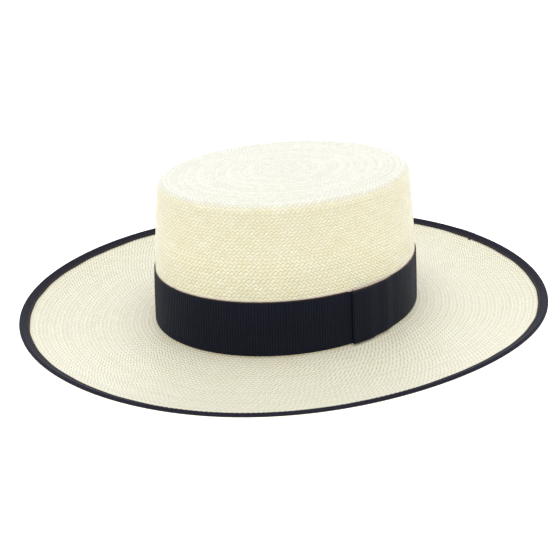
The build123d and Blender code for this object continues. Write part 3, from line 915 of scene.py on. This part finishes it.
# --- Ribbons ---
def bearing_after(start, distance, offset):
    """The bearing that lies a distance further round from a start, along the line at that offset."""
    table = np.linspace(start - 360, start + 720, 4321)
    run = run_along(*plan(table, offset))
    return np.interp(distance + np.interp(start, table, run), run, table)


def wrap(name, columns, section):
    """A grid with its rows closed round a section. Gives the piece and the column and row of every point."""
    piece = grid(name, columns, section)
    row, column = np.mgrid[0:section + 1, 0:columns + 1]
    return piece, row, column


def seal(piece, holes=False):
    """Close a wrapped piece's seams, and its ends where it has any."""
    weld(piece, 0.01)
    if holes:
        bpy.ops.mesh.select_all(action="DESELECT")
        bpy.ops.mesh.select_non_manifold()
        bpy.ops.mesh.fill_holes(sides=0)
    face_out()
    only(piece)
    bpy.ops.object.shade_smooth_by_angle(angle=math.radians(50))


def closed_line(*lines):
    """Lines of points one after another, ending where they start."""
    loop = np.concatenate(lines)
    return np.concatenate([loop, loop[:1]])


def ribbon_section(height, wall, face_points, edge_points=5):
    """The outline of an upright ribbon: (share of its thickness from -1 to 1, height), closed."""
    faces = np.linspace(wall / 2, height - wall / 2, face_points)
    turn = np.linspace(0, np.pi, edge_points + 2)[1:-1]
    top = np.stack([np.cos(turn), height - wall / 2 + np.sin(turn) * wall / 2], axis=1)
    foot = np.stack([-np.cos(turn), wall / 2 - np.sin(turn) * wall / 2], axis=1)
    outer = np.stack([np.ones(face_points), faces], axis=1)
    inner = np.stack([-np.ones(face_points), faces[::-1]], axis=1)
    return closed_line(outer, top, inner, foot)


def path_normals(x, offset):
    """Unit normals of a path in the flat space of distance and offset, on the left of its direction."""
    dx, do = np.gradient(x), np.gradient(offset)
    length = np.hypot(dx, do)
    return -do / length, dx / length


def upright_place(bearing, offset, height):
    """A point of something that stands along the crown's lean."""
    x, y = plan(bearing, offset - lean_at(np.maximum(height, 0)))
    return x, y, height + LIFT


def band_lift(x):
    """How far the hat band's upper ply stands off, at a distance from its folded end."""
    plies = sum(1 - ease((x - covered) / BAND_EASE) for covered in (BAND_FOLD, BAND_LAP_LENGTH))
    return plies * (BAND_WALL + LAY_GAP)


def outward(bearing):
    """The level direction square out of the head oval, one millimetre long."""
    return np.array(plan(bearing, 1.0)) - np.array(plan(bearing, 0.0))


def make_hat_band():
    """Grosgrain once round the crown, its finished end turned under and lapped over its plain end."""
    under = BAND_OUTER + LAY_GAP + BAND_WALL / 2
    over = BAND_OUTER + band_lift(0.0) - BAND_WALL / 2
    nose = (over - under) / 2
    nose_x = nose + BAND_WALL / 2
    fold = np.linspace(BAND_FOLD, nose_x, FOLD_POINTS)
    turn = np.linspace(0, np.pi, NOSE_POINTS + 2)[1:-1]
    end = length_round(BAND_OUTER) + BAND_LAP_LENGTH
    main = np.arange(nose_x, end, BAND_RIB / 6)
    x = np.concatenate([fold, nose_x - nose * np.sin(turn), main])
    offset = np.concatenate([np.full(FOLD_POINTS, under), (under + over) / 2 - nose * np.cos(turn),
                             BAND_OUTER + band_lift(main) - BAND_WALL / 2])
    side_x, side_o = path_normals(x, offset)
    section = ribbon_section(BAND_HEIGHT, BAND_WALL, 13)
    piece, row, column = wrap("hat_band_grosgrain", len(x) - 1, len(section) - 1)
    step = np.arange(len(x))
    upper = step >= FOLD_POINTS + NOSE_POINTS
    run = np.where(upper, x, -x)
    lap = 1 - ease((np.abs(run) - LAP_PRESSED) / LAP_PRESSED_FADE)
    share = 1 - (1 - LAP_RIB_SHARE) * lap
    rib = 0.5 + 0.5 * np.cos(2 * np.pi * x / BAND_RIB)
    thick, height = section[row, 0], section[row, 1]
    dip = BAND_RIB_RELIEF * share[column] * (1 - rib[column])
    reach = thick * (BAND_WALL / 2 - dip * (thick > 0))
    edge = np.clip(np.abs(height - BAND_HEIGHT / 2) - (BAND_HEIGHT / 2 - 0.5), 0, 0.5) / 0.5
    height = height - np.sign(height - BAND_HEIGHT / 2) * dip * edge * 0.9
    corner = np.exp(-((step - FOLD_CORNER_STEP) / FOLD_CORNER_STEPS) ** 2)
    height = height + FOLD_CORNER * corner[column] * (section[row, 1] > BAND_HEIGHT - 1)
    covered = np.where(upper, ease((x - end + BAND_LAP_LENGTH + 4) / 4), 1.0)
    height = height - COVERED_DROP * covered[column] * section[row, 1] / BAND_HEIGHT
    at_x = x[column] + reach * side_x[column]
    at_o = offset[column] + reach * side_o[column]
    bearing = bearing_after(BAND_LAP_BEARING, at_x, BAND_OUTER)
    lay(piece, *upright_place(bearing, at_o, height))
    chart(piece, "ribbon", run_along(x, offset)[column] / 10, section[row, 1] / 10)
    seal(piece, holes=True)
    return piece


def binding_outline(reach, inner_edge, roll=0.0):
    """Round the brim's cut edge from top to underside, at a reach from the straw, as (offset, height)."""
    offsets = np.concatenate([[inner_edge], np.linspace(inner_edge + 1.2, STRAW_END, 6)])
    turns = np.pi / 2 + brim_angle(offsets)
    heights = brim_height(offsets)
    padded = reach + roll * ease((offsets - STRAW_END + 3.2) / 3.2)
    reach = reach + roll
    top = np.stack([offsets + padded * np.cos(turns), heights + padded * np.sin(turns)], axis=1)
    far = STRAW_WALL + padded
    foot = np.stack([offsets - far * np.cos(turns), heights - far * np.sin(turns)], axis=1)[::-1]
    slope = turns[-1] - np.pi / 2
    middle = np.array([STRAW_END - STRAW_WALL / 2 * np.cos(turns[-1]),
                       heights[-1] - STRAW_WALL / 2 * np.sin(turns[-1])])
    a = np.radians(np.array([60, 40, 20, 0, -20, -40, -60]))
    out, rise = (reach - roll * 0.5) * np.cos(a), (STRAW_WALL / 2 + reach) * np.sin(a)
    nose = middle + np.stack([out * np.cos(slope) - rise * np.sin(slope),
                              out * np.sin(slope) + rise * np.cos(slope)], axis=1)
    return np.concatenate([top, nose, foot])


def make_binding():
    """Grosgrain folded over the brim's edge, with its two ends lapped behind."""
    first = BRIM_END - BINDING_WIDTH
    length = length_round(BRIM_END)
    ribs = round(length / BINDING_RIB)

    def section(wall, outer_edge, inner_edge):
        """The ribbon's section with a wall, its outer and its inner face ending at these offsets."""
        return closed_line(binding_outline(LAY_GAP + wall, outer_edge, BINDING_ROLL),
                           binding_outline(LAY_GAP, inner_edge)[::-1])
    high = section(BINDING_WALL, first, first)
    low = section(BINDING_WALL - BINDING_RIB_RELIEF, first + 0.1, first + 0.1)
    lap = section(BINDING_WALL * 1.75, first + 0.1, first)
    piece, row, column = wrap("brim_binding_grosgrain", ribs * 2, len(high) - 1)
    bearing = even_bearings(column / (ribs * 2), BRIM_END)
    rib = 1.0 - column % 2
    past = (bearing - BINDING_JOIN_BEARING) / BINDING_LAP
    over = np.where(past < 0, ease(1 + past * 14), 1 - ease((past - 0.75) / 0.9))
    line = low[row] + (high[row] - low[row]) * rib[..., None] + (lap[row] - high[row]) * over[..., None]
    turn = np.radians(bearing)
    stray = 0.16 * np.sin(9 * turn + 1) + 0.12 * np.sin(23 * turn + 4) + 0.1 * np.sin(41 * turn)
    inner = np.clip((first + 4 - line[..., 0]) / 4, 0, 1)
    near = np.exp(-((bearing - BINDING_JOIN_BEARING) / BINDING_CORNER_WIDTH) ** 2)
    corner = BINDING_CORNER * inner**2 * near
    line = line + np.stack([stray * inner - corner, stray * inner * 0.3 - corner * 0.4], axis=-1)
    x, y = plan(bearing, line[..., 0])
    lay(piece, x, y, line[..., 1] + wave(bearing, line[..., 0]) + LIFT)
    chart(piece, "ribbon", column / 2, row / 4.0)
    seal(piece)
    return piece


def make_stitch(length, thickness):
    """One stitch, lying along X with its ends going down into the cloth."""
    bpy.ops.object.select_all(action="DESELECT")
    bpy.ops.mesh.primitive_uv_sphere_add(segments=8, ring_count=6, radius=0.5)
    stitch = bpy.context.object
    stitch.data.uv_layers[0].name = "stitch"
    bpy.ops.object.mode_set(mode="EDIT")
    bpy.ops.mesh.select_all(action="SELECT")
    bpy.ops.transform.rotate(value=math.pi / 2, orient_axis="Y", center_override=(0, 0, 0))
    bpy.ops.transform.resize(value=(length * MM, thickness * MM, thickness * MM), center_override=(0, 0, 0))
    close_edit()
    return stitch


def sew(name, stitch, places):
    """Copies of a stitch at (point, direction along, direction out) in millimetres, joined as one piece."""
    copies = []
    for point, along, out in places:
        copy = stitch.copy()
        copy.data = stitch.data.copy()
        along, out = Vector(along).normalized(), Vector(out)
        out = (out - along * out.dot(along)).normalized()
        turn = Matrix((along, out.cross(along), out)).transposed().to_4x4()
        copy.data.transform(Matrix.Translation(Vector(point) * MM) @ turn)
        bpy.context.collection.objects.link(copy)
        copies.append(copy)
    bpy.data.objects.remove(stitch)
    only(*copies)
    bpy.ops.object.join()
    piece = bpy.context.object
    piece.name = piece.data.name = name
    piece.data.shade_smooth()
    return piece


def frame_at(place_of, bearing, step=0.02):
    """A point of a surface line, and its direction there."""
    before, after = (np.array(place_of(b)) for b in (bearing - step, bearing + step))
    return (before + after) / 2, after - before


def make_binding_stitches():
    """The running stitch on both sides of the binding."""
    seam = BRIM_END - BINDING_WIDTH + BINDING_SEAM_INSET
    count = round(length_round(seam) / STITCH_PITCH)
    angle = math.pi / 2 + float(brim_angle(seam))
    rise = LAY_GAP + BINDING_WALL + 0.02
    slope = angle - math.pi / 2
    places = []
    for side, shift, way in ((rise, 0.0, 1), (-STRAW_WALL - rise, 0.5, -1)):
        offset = seam + side * math.cos(angle)
        height = float(brim_height(seam)) + side * math.sin(angle)

        def line(b):
            """The seam at a bearing."""
            x, y = plan(b, offset)
            return float(x), float(y), height + float(wave(b, offset)) + LIFT
        for number in range(count):
            bearing = float(even_bearings(np.array((number + shift) / count), seam))
            point, along = frame_at(line, bearing)
            out_x, out_y = outward(bearing) * -math.sin(slope)
            places.append((point, along, (way * out_x, way * out_y, way * math.cos(slope))))
    return sew("binding_running_stitch", make_stitch(STITCH_LENGTH, THREAD * 1.1), places)


def upright_ribbon(name, start, at_offset, x, offset, wall, foot, height, face_points, pinch=None, dent=None,
                   closed=False):
    """A ribbon that stands on a path of distance from a bearing and offset, leaning in as the crown does."""
    side_x, side_o = path_normals(x, offset)
    if closed:
        side_x[0] = side_x[-1] = (side_x[1] + side_x[-2]) / 2
        side_o[0] = side_o[-1] = (side_o[1] + side_o[-2]) / 2
    section = ribbon_section(height, wall, face_points)
    piece, row, column = wrap(name, len(x) - 1, len(section) - 1)
    rise = section[row, 1]
    reach = section[row, 0] * wall / 2
    if dent is not None:
        reach = reach - np.sign(section[row, 0]) * dent(x[column], rise, section[row, 0])
    tall = rise if pinch is None else height / 2 + (rise - height / 2) * pinch(x[column])
    at_x = x[column] + reach * side_x[column]
    at_o = offset[column] + reach * side_o[column]
    bearing = bearing_after(start, at_x, at_offset)
    lay(piece, *upright_place(bearing, at_o, foot + tall))
    chart(piece, "ribbon", run_along(x, offset)[column] / 10, rise / 10)
    seal(piece, holes=not closed)
    return piece


def make_sweatband():
    """A strip of thin leather, with a pressed line below its upper edge."""
    length = length_round(0)
    x = np.linspace(SWEATBAND_JOINT_GAP / 2, length - SWEATBAND_JOINT_GAP / 2, 460)
    turn = 2 * np.pi * x / length
    slack = 0.08 * np.sin(7 * turn + 1) + 0.06 * np.sin(17 * turn + 2)
    offset = SWEATBAND_WALL / 2 + 0.02 + np.clip(slack, -0.1, 0.14)

    def pressed(_, rise, side):
        """How far the leather is pressed in, by its line and its thinned upper edge."""
        line = np.exp(-((rise - SWEATBAND_HEIGHT + 3.2) / 0.35) ** 2)
        skived = np.clip((rise - SWEATBAND_HEIGHT + 1.2) / 1.2, 0, 1)
        return (0.16 * line + 0.2 * skived) * (np.abs(side) > 0.9)
    return upright_ribbon("sweatband_leather_strip", BACK, 0, x, offset, SWEATBAND_WALL, SWEATBAND_FOOT,
                          SWEATBAND_HEIGHT, 60, dent=pressed)


def make_sweatband_stitches():
    """The running stitch through the sweatband and the welt."""
    height = SWEATBAND_FOOT + SWEATBAND_SEAM
    count = round(length_round(0) / STITCH_PITCH)
    places = []
    for number in range(count):
        bearing = float(even_bearings(np.array((number + 0.5) / count + 0.5), 0))

        def line(b):
            """The seam at a bearing."""
            x, y = plan(b, -float(lean_at(height)) - 0.02)
            return float(x), float(y), height + LIFT
        places.append((*frame_at(line, bearing), (*-outward(bearing), 0)))
    return sew("sweatband_running_stitch", make_stitch(STITCH_LENGTH, THREAD), places)


def back_place(x, offset, height):
    """A point behind, x millimetres past the middle of the back."""
    bearing = bearing_after(BACK, np.asarray(float(x)), 0)
    return np.array([float(c) for c in upright_place(bearing, offset, np.asarray(float(height)))])


def make_joint_stitches():
    """A ladder of slanted stitches over the sweatband's joint."""
    clear = SWEATBAND_FOOT + BOW_LIFT + BOW_RIBBON + THREAD
    pitch = (SWEATBAND_FOOT + SWEATBAND_HEIGHT - clear) / JOINT_STITCHES
    places = []
    for number in range(JOINT_STITCHES):
        height = clear + (number + 0.5) * pitch + THREAD / 2
        for lean in (0.34, -0.34):
            point = back_place(0, -THREAD_GAP - 0.12 - (0.1 if lean < 0 else 0), height)
            start, end = (back_place(side * JOINT_STITCH_LENGTH / 2, 0, height + side * lean * pitch)
                          for side in (-1, 1))
            places.append((point, end - start, (0, -1, 0)))
    return sew("sweatband_joint_threads", make_stitch(JOINT_STITCH_LENGTH, THREAD), places)


def make_joint_tab():
    """The cotton patch behind the sweatband's joint."""
    x = np.linspace(-JOINT_TAB_WIDTH / 2, JOINT_TAB_WIDTH / 2, 25)
    offset = np.full_like(x, SWEATBAND_WALL + 2 * LAY_GAP + JOINT_TAB_WALL / 2)
    return upright_ribbon("sweatband_joint_patch", BACK, SWEATBAND_WALL, x, offset, JOINT_TAB_WALL,
                          SWEATBAND_FOOT + WELT_FLANGE + LAY_GAP, JOINT_TAB_HEIGHT, 20)


def make_welt_tape():
    """Cotton tape folded round the reed, its two edges standing up behind the sweatband."""
    top = SWEATBAND_FOOT + WELT_FLANGE
    middle = SWEATBAND_WALL + SWEATBAND_GAP / 2

    def loop(radius, reach, steps=22):
        """Down behind the sweatband, round the reed and up again, as (offset, height)."""
        far, near = middle + reach - WELT_OFFSET, middle - reach - WELT_OFFSET
        turns = np.linspace(math.acos(far / radius), math.acos(near / radius) - 2 * math.pi, steps)
        bulb = np.stack([radius * np.cos(turns), WELT_HEIGHT + radius * np.sin(turns)], axis=1)
        down = np.linspace(top, bulb[0, 1], 8)[:-1]
        up = np.linspace(bulb[-1, 1], top, 8)[1:]
        return np.concatenate([np.stack([np.full_like(down, far), down], axis=1), bulb,
                               np.stack([np.full_like(up, near), up], axis=1)])
    outside = loop(WELT_BULB_RADIUS, LAY_GAP / 2 + WELT_WALL)
    inside = loop(WELT_BULB_RADIUS - WELT_WALL, LAY_GAP / 2)[::-1]
    section = closed_line(outside, inside)
    columns = 480
    piece, row, column = wrap("welt_cotton_tape", columns, len(section) - 1)
    bearing = even_bearings(column / columns + 0.5, WELT_OFFSET)
    height = section[row, 1]
    pucker = 0.04 * np.sin(2 * np.pi * column / 8) * (height < SWEATBAND_FOOT)
    x, y = plan(bearing, WELT_OFFSET + section[row, 0] - lean_at(np.maximum(height, 0)))
    lay(piece, x, y, height + pucker + LIFT)
    length = run_along(section[:, 0], section[:, 1])
    chart(piece, "ribbon", column * length_round(WELT_OFFSET) / columns / 10, length[row] / 10)
    seal(piece)
    return piece


def bow_far(x):
    """Offset of the bow's outer ply, middle of its thickness."""
    share = np.clip((np.abs(x) - BOW_WAIST / 2) / (BOW_LENGTH / 2 - BOW_WAIST / 2), 0, 1)
    belly = np.sin(np.pi * share ** 1.15)
    return -LAY_GAP - 2 * BOW_WALL - LAY_GAP - (BOW_DEPTH - 2 * BOW_WALL - LAY_GAP) * belly + BOW_WALL / 2


def make_rear_bow():
    """One ribbon laid in two loops and pinched at its waist."""
    near = -LAY_GAP - BOW_WALL / 2
    tip = BOW_LENGTH / 2 - BOW_WALL / 2
    far = float(bow_far(np.array(tip)))
    nose = (near - far) / 2
    turn = np.linspace(0, np.pi, 9)[1:-1]
    reach = tip - nose
    back = np.linspace(-reach, reach, 61)
    front = back[::-1]
    x = np.concatenate([back, reach + nose * np.sin(turn), front, -reach - nose * np.sin(turn), back[:1]])
    offset = np.concatenate([np.full_like(back, near), (near + far) / 2 + nose * np.cos(turn), bow_far(front),
                             (near + far) / 2 - nose * np.cos(turn), [near]])

    def pinched(at):
        """The ribbon's width there, as a share."""
        return 0.66 + 0.34 * ease((np.abs(at) - 2.0) / 8)

    def folds(at, rise, _):
        """How deep its creases are, which run into the waist."""
        near_waist = 1 - ease((np.abs(at) - 2.6) / 7)
        return 0.06 * near_waist * (1 - np.cos(2 * np.pi * rise / BOW_RIBBON * 3))
    return upright_ribbon("rear_bow_loops", BACK, 0, x, offset, BOW_WALL, SWEATBAND_FOOT + BOW_LIFT,
                          BOW_RIBBON, 25, pinch=pinched, dent=folds, closed=True)


def make_rear_bow_knot():
    """A short ribbon wrapped over the bow's waist."""
    middle_z = SWEATBAND_FOOT + BOW_LIFT + BOW_RIBBON / 2
    tall = BOW_RIBBON / 2 * 0.72 + BOW_WALL
    front, behind = -LAY_GAP - 2 * BOW_WALL - 3 * LAY_GAP - BOW_WALL, -LAY_GAP / 2
    centre, deep = (front + behind) / 2, (behind - front) / 2 - BOW_WALL / 2
    turn = np.linspace(0, 2 * np.pi, 49)
    power = 0.35
    o = centre - deep * np.sign(np.cos(turn)) * np.abs(np.cos(turn)) ** power
    z = tall * np.sign(np.sin(turn)) * np.abs(np.sin(turn)) ** power
    out_o, out_z = o - centre, z / tall * deep
    size = np.hypot(out_o, out_z)
    out_o, out_z = out_o / size, out_z / size
    half = BOW_WAIST / 2
    widths = np.linspace(-half, half, 19)
    face, back = np.ones(19), -np.ones(19)
    section = np.stack([[*face, *back, 1.0], [*widths, *widths[::-1], -half]], axis=1)
    piece, row, column = wrap("rear_bow_wrap", len(turn) - 1, len(section) - 1)
    width = section[row, 1]
    fold = 0.07 * (np.cos(2 * np.pi * width / 1.7) * (1 - np.abs(width) / half * 0.6) - 1)
    reach = section[row, 0] * BOW_WALL / 2 + fold * (section[row, 0] > 0)
    narrow = 1 - 0.12 * np.cos(turn[column]) ** 2
    bearing = bearing_after(BACK, width * narrow, 0)
    offset = o[column] + reach * out_o[column]
    lay(piece, *upright_place(bearing, offset, middle_z + z[column] + reach * out_z[column]))
    chart(piece, "ribbon", column / 25, width / 10)
    seal(piece)
    return piece


def make_band_tacks():
    """Pairs of small stitches over the hat band's upper edge."""
    places = []
    for number in range(BAND_TACKS):
        middle = BAND_LAP_BEARING + (number + 1) * 360 / (BAND_TACKS + 1)
        for side in (-0.4, 0.4):
            bearing = float(bearing_after(middle, np.asarray(side), BAND_OUTER))
            point = upright_place(bearing, BAND_OUTER - BAND_WALL / 2 + 0.05, BAND_HEIGHT + 0.1)
            places.append((point, (*outward(bearing), 0.12 * side), (0, 0, 1)))
    return sew("hat_band_tack_threads", make_stitch(BAND_WALL + 0.3, THREAD), places)


def make_lap_stitches():
    """Small stitches that hold the folded end down on the ply below."""
    pitch = BAND_HEIGHT / LAP_STITCHES
    bearing = float(bearing_after(BAND_LAP_BEARING, np.asarray(-0.16), BAND_OUTER))
    places = []
    for number in range(LAP_STITCHES):
        height = (number + 0.5) * pitch + THREAD / 2
        point = upright_place(bearing, BAND_OUTER + 0.42, height)
        places.append((point, (*outward(bearing), 0.35), (0, 0, 1)))
    return sew("hat_band_lap_threads", make_stitch(0.95, THREAD * 0.9), places)


# --- The hat: each maker with the material, the slot and the node that its piece stands for ---
straw = make_straw_material()
for piece in make_straw():
    finish(piece, straw, "straw_body")

band_cloth = make_grosgrain_material("band grosgrain", (0.0080, 0.0097, 0.0190), (0.0019, 0.0022, 0.0044),
                                    ribs=10 / BAND_RIB, threads=10 / 0.3, roughness=0.5, relief=0.08,
                                    gloss=0.07, brown_edge=(3.88, 3.99))
binding_cloth = make_grosgrain_material("binding grosgrain", (0.0185, 0.0178, 0.0295), (0.0075, 0.007, 0.011),
                                       ribs=1.0, threads=9.0, roughness=0.6, relief=0.06,
                                       gloss=0.06, brown_edge=(0.34, 0.06))
dark_thread = make_thread_material("dark thread", (0.016, 0.016, 0.022), (0.004, 0.004, 0.006), 0.55)
pale_thread = make_thread_material("pale thread", (0.72, 0.64, 0.48), (0.42, 0.34, 0.22), 0.6)
leather = make_leather_material("tan leather", (0.47, 0.285, 0.145), (0.19, 0.095, 0.04), (0.60, 0.42, 0.25))
tape_cloth = make_tape_material("cotton tape", (0.75, 0.69, 0.55), (0.40, 0.34, 0.23), 26.0)
satin = make_satin_material("black satin", (0.014, 0.015, 0.021), (0.05, 0.052, 0.065))
for make, material, slot, node in (
        (make_hat_band, band_cloth, "band_ribbon", "hat_band"),
        (make_binding, binding_cloth, "binding_ribbon", "brim_binding"),
        (make_binding_stitches, dark_thread, "binding_thread", "binding_thread"),
        (make_band_tacks, dark_thread, "band_thread", "hat_band_tacks"),
        (make_lap_stitches, dark_thread, "band_thread", "hat_band_lap_stitches"),
        (make_sweatband, leather, "sweatband_leather", "sweatband"),
        (make_sweatband_stitches, pale_thread, "pale_thread", "sweatband_thread"),
        (make_joint_stitches, pale_thread, "pale_thread", "sweatband_joint_stitches"),
        (make_joint_tab, tape_cloth, "tape", "sweatband_joint_tab"),
        (make_welt_tape, tape_cloth, "tape", "welt_tape"),
        (make_rear_bow, satin, "bow_ribbon", "rear_bow"),
        (make_rear_bow_knot, satin, "bow_ribbon", "rear_bow_knot")):
    finish(make(), material, node)
dress(bpy.data.objects["welt_reed"], make_reed_material("reed", (0.74, 0.64, 0.42), (0.50, 0.38, 0.20)))

# --- Camera, floor and light ---
WORLD_LIGHT = 0.8
BACKDROP = 1.0
FLOOR_GLOW = 0.6
OVERHEAD_POWER = 13.0
REAR_POWER = 12.0
SIDE_POWER = 3.5
FRONT_POWER = 2.0
CAMERA_PLACE = (0.569980, -0.294485, 0.300751 + LIFT * MM)
CAMERA_FORWARD = Vector((-0.82747147, 0.42752025, -0.3640294))
CAMERA_RIGHT = Vector((0.46658825, 0.88419633, -0.02218672))
CAMERA_UP = CAMERA_RIGHT.cross(CAMERA_FORWARD)
CAMERA_LENS = 58.553
CAMERA_SHIFT = (-0.01258, -0.07188)
camera_data = bpy.data.cameras.new("camera")
camera_data.sensor_width = 36
camera_data.lens = CAMERA_LENS
camera_data.shift_x, camera_data.shift_y = CAMERA_SHIFT
camera = bpy.data.objects.new("camera", camera_data)
facing = Matrix((CAMERA_RIGHT, CAMERA_UP, -CAMERA_FORWARD)).transposed().to_4x4()
camera.matrix_world = Matrix.Translation(CAMERA_PLACE) @ facing
bpy.context.collection.objects.link(camera)
bpy.context.scene.camera = camera

bpy.ops.object.select_all(action="DESELECT")
bpy.ops.mesh.primitive_plane_add(size=6, location=(0, 0, 0))
floor = bpy.context.object
floor.name = "floor"
table, _ = start_material("white table", 0.9, 0.0)
table_shader = table.node_tree.nodes["Principled BSDF"].inputs
for label, value in (("Base Color", (0.9, 0.9, 0.9, 1)), ("Emission Color", (*WHITE, 1)),
                     ("Emission Strength", FLOOR_GLOW)):
    put(table_shader[label], value)
floor.data.materials.append(table)

world = bpy.data.worlds.new("studio")
bpy.context.scene.world = world
world.use_nodes = True
sky = world.node_tree.nodes["Background"].inputs
n = Nodes(world.node_tree)
seen = n.add("LightPath").outputs["Is Camera Ray"]
put(sky["Color"], (*WHITE, 1))
put(sky["Strength"], n.plus(WORLD_LIGHT, n.times(seen, BACKDROP - WORLD_LIGHT)))


def softbox(name, place, size, power, target=(0, 0, 0.05)):
    """A square soft light that faces the hat."""
    data = bpy.data.lights.new(name, "AREA")
    data.shape = "SQUARE"
    data.size = size
    data.energy = power
    lamp = bpy.data.objects.new(name, data)
    lamp.location = place
    lamp.rotation_euler = (Vector(target) - Vector(place)).to_track_quat("-Z", "Y").to_euler()
    bpy.context.collection.objects.link(lamp)


softbox("overhead softbox", (0.3, -0.18, 1.78), 1.3, OVERHEAD_POWER)
softbox("rear softbox", (-1.75, 0.85, 0.85), 1.7, REAR_POWER)
softbox("front softbox", (1.5, -0.9, 0.9), 1.4, FRONT_POWER)
softbox("left softbox", (-0.6, -1.7, 0.8), 1.2, SIDE_POWER)
softbox("right softbox", (0.9, 1.5, 0.8), 1.2, SIDE_POWER)
bpy.context.scene.view_settings.view_transform = "Standard"
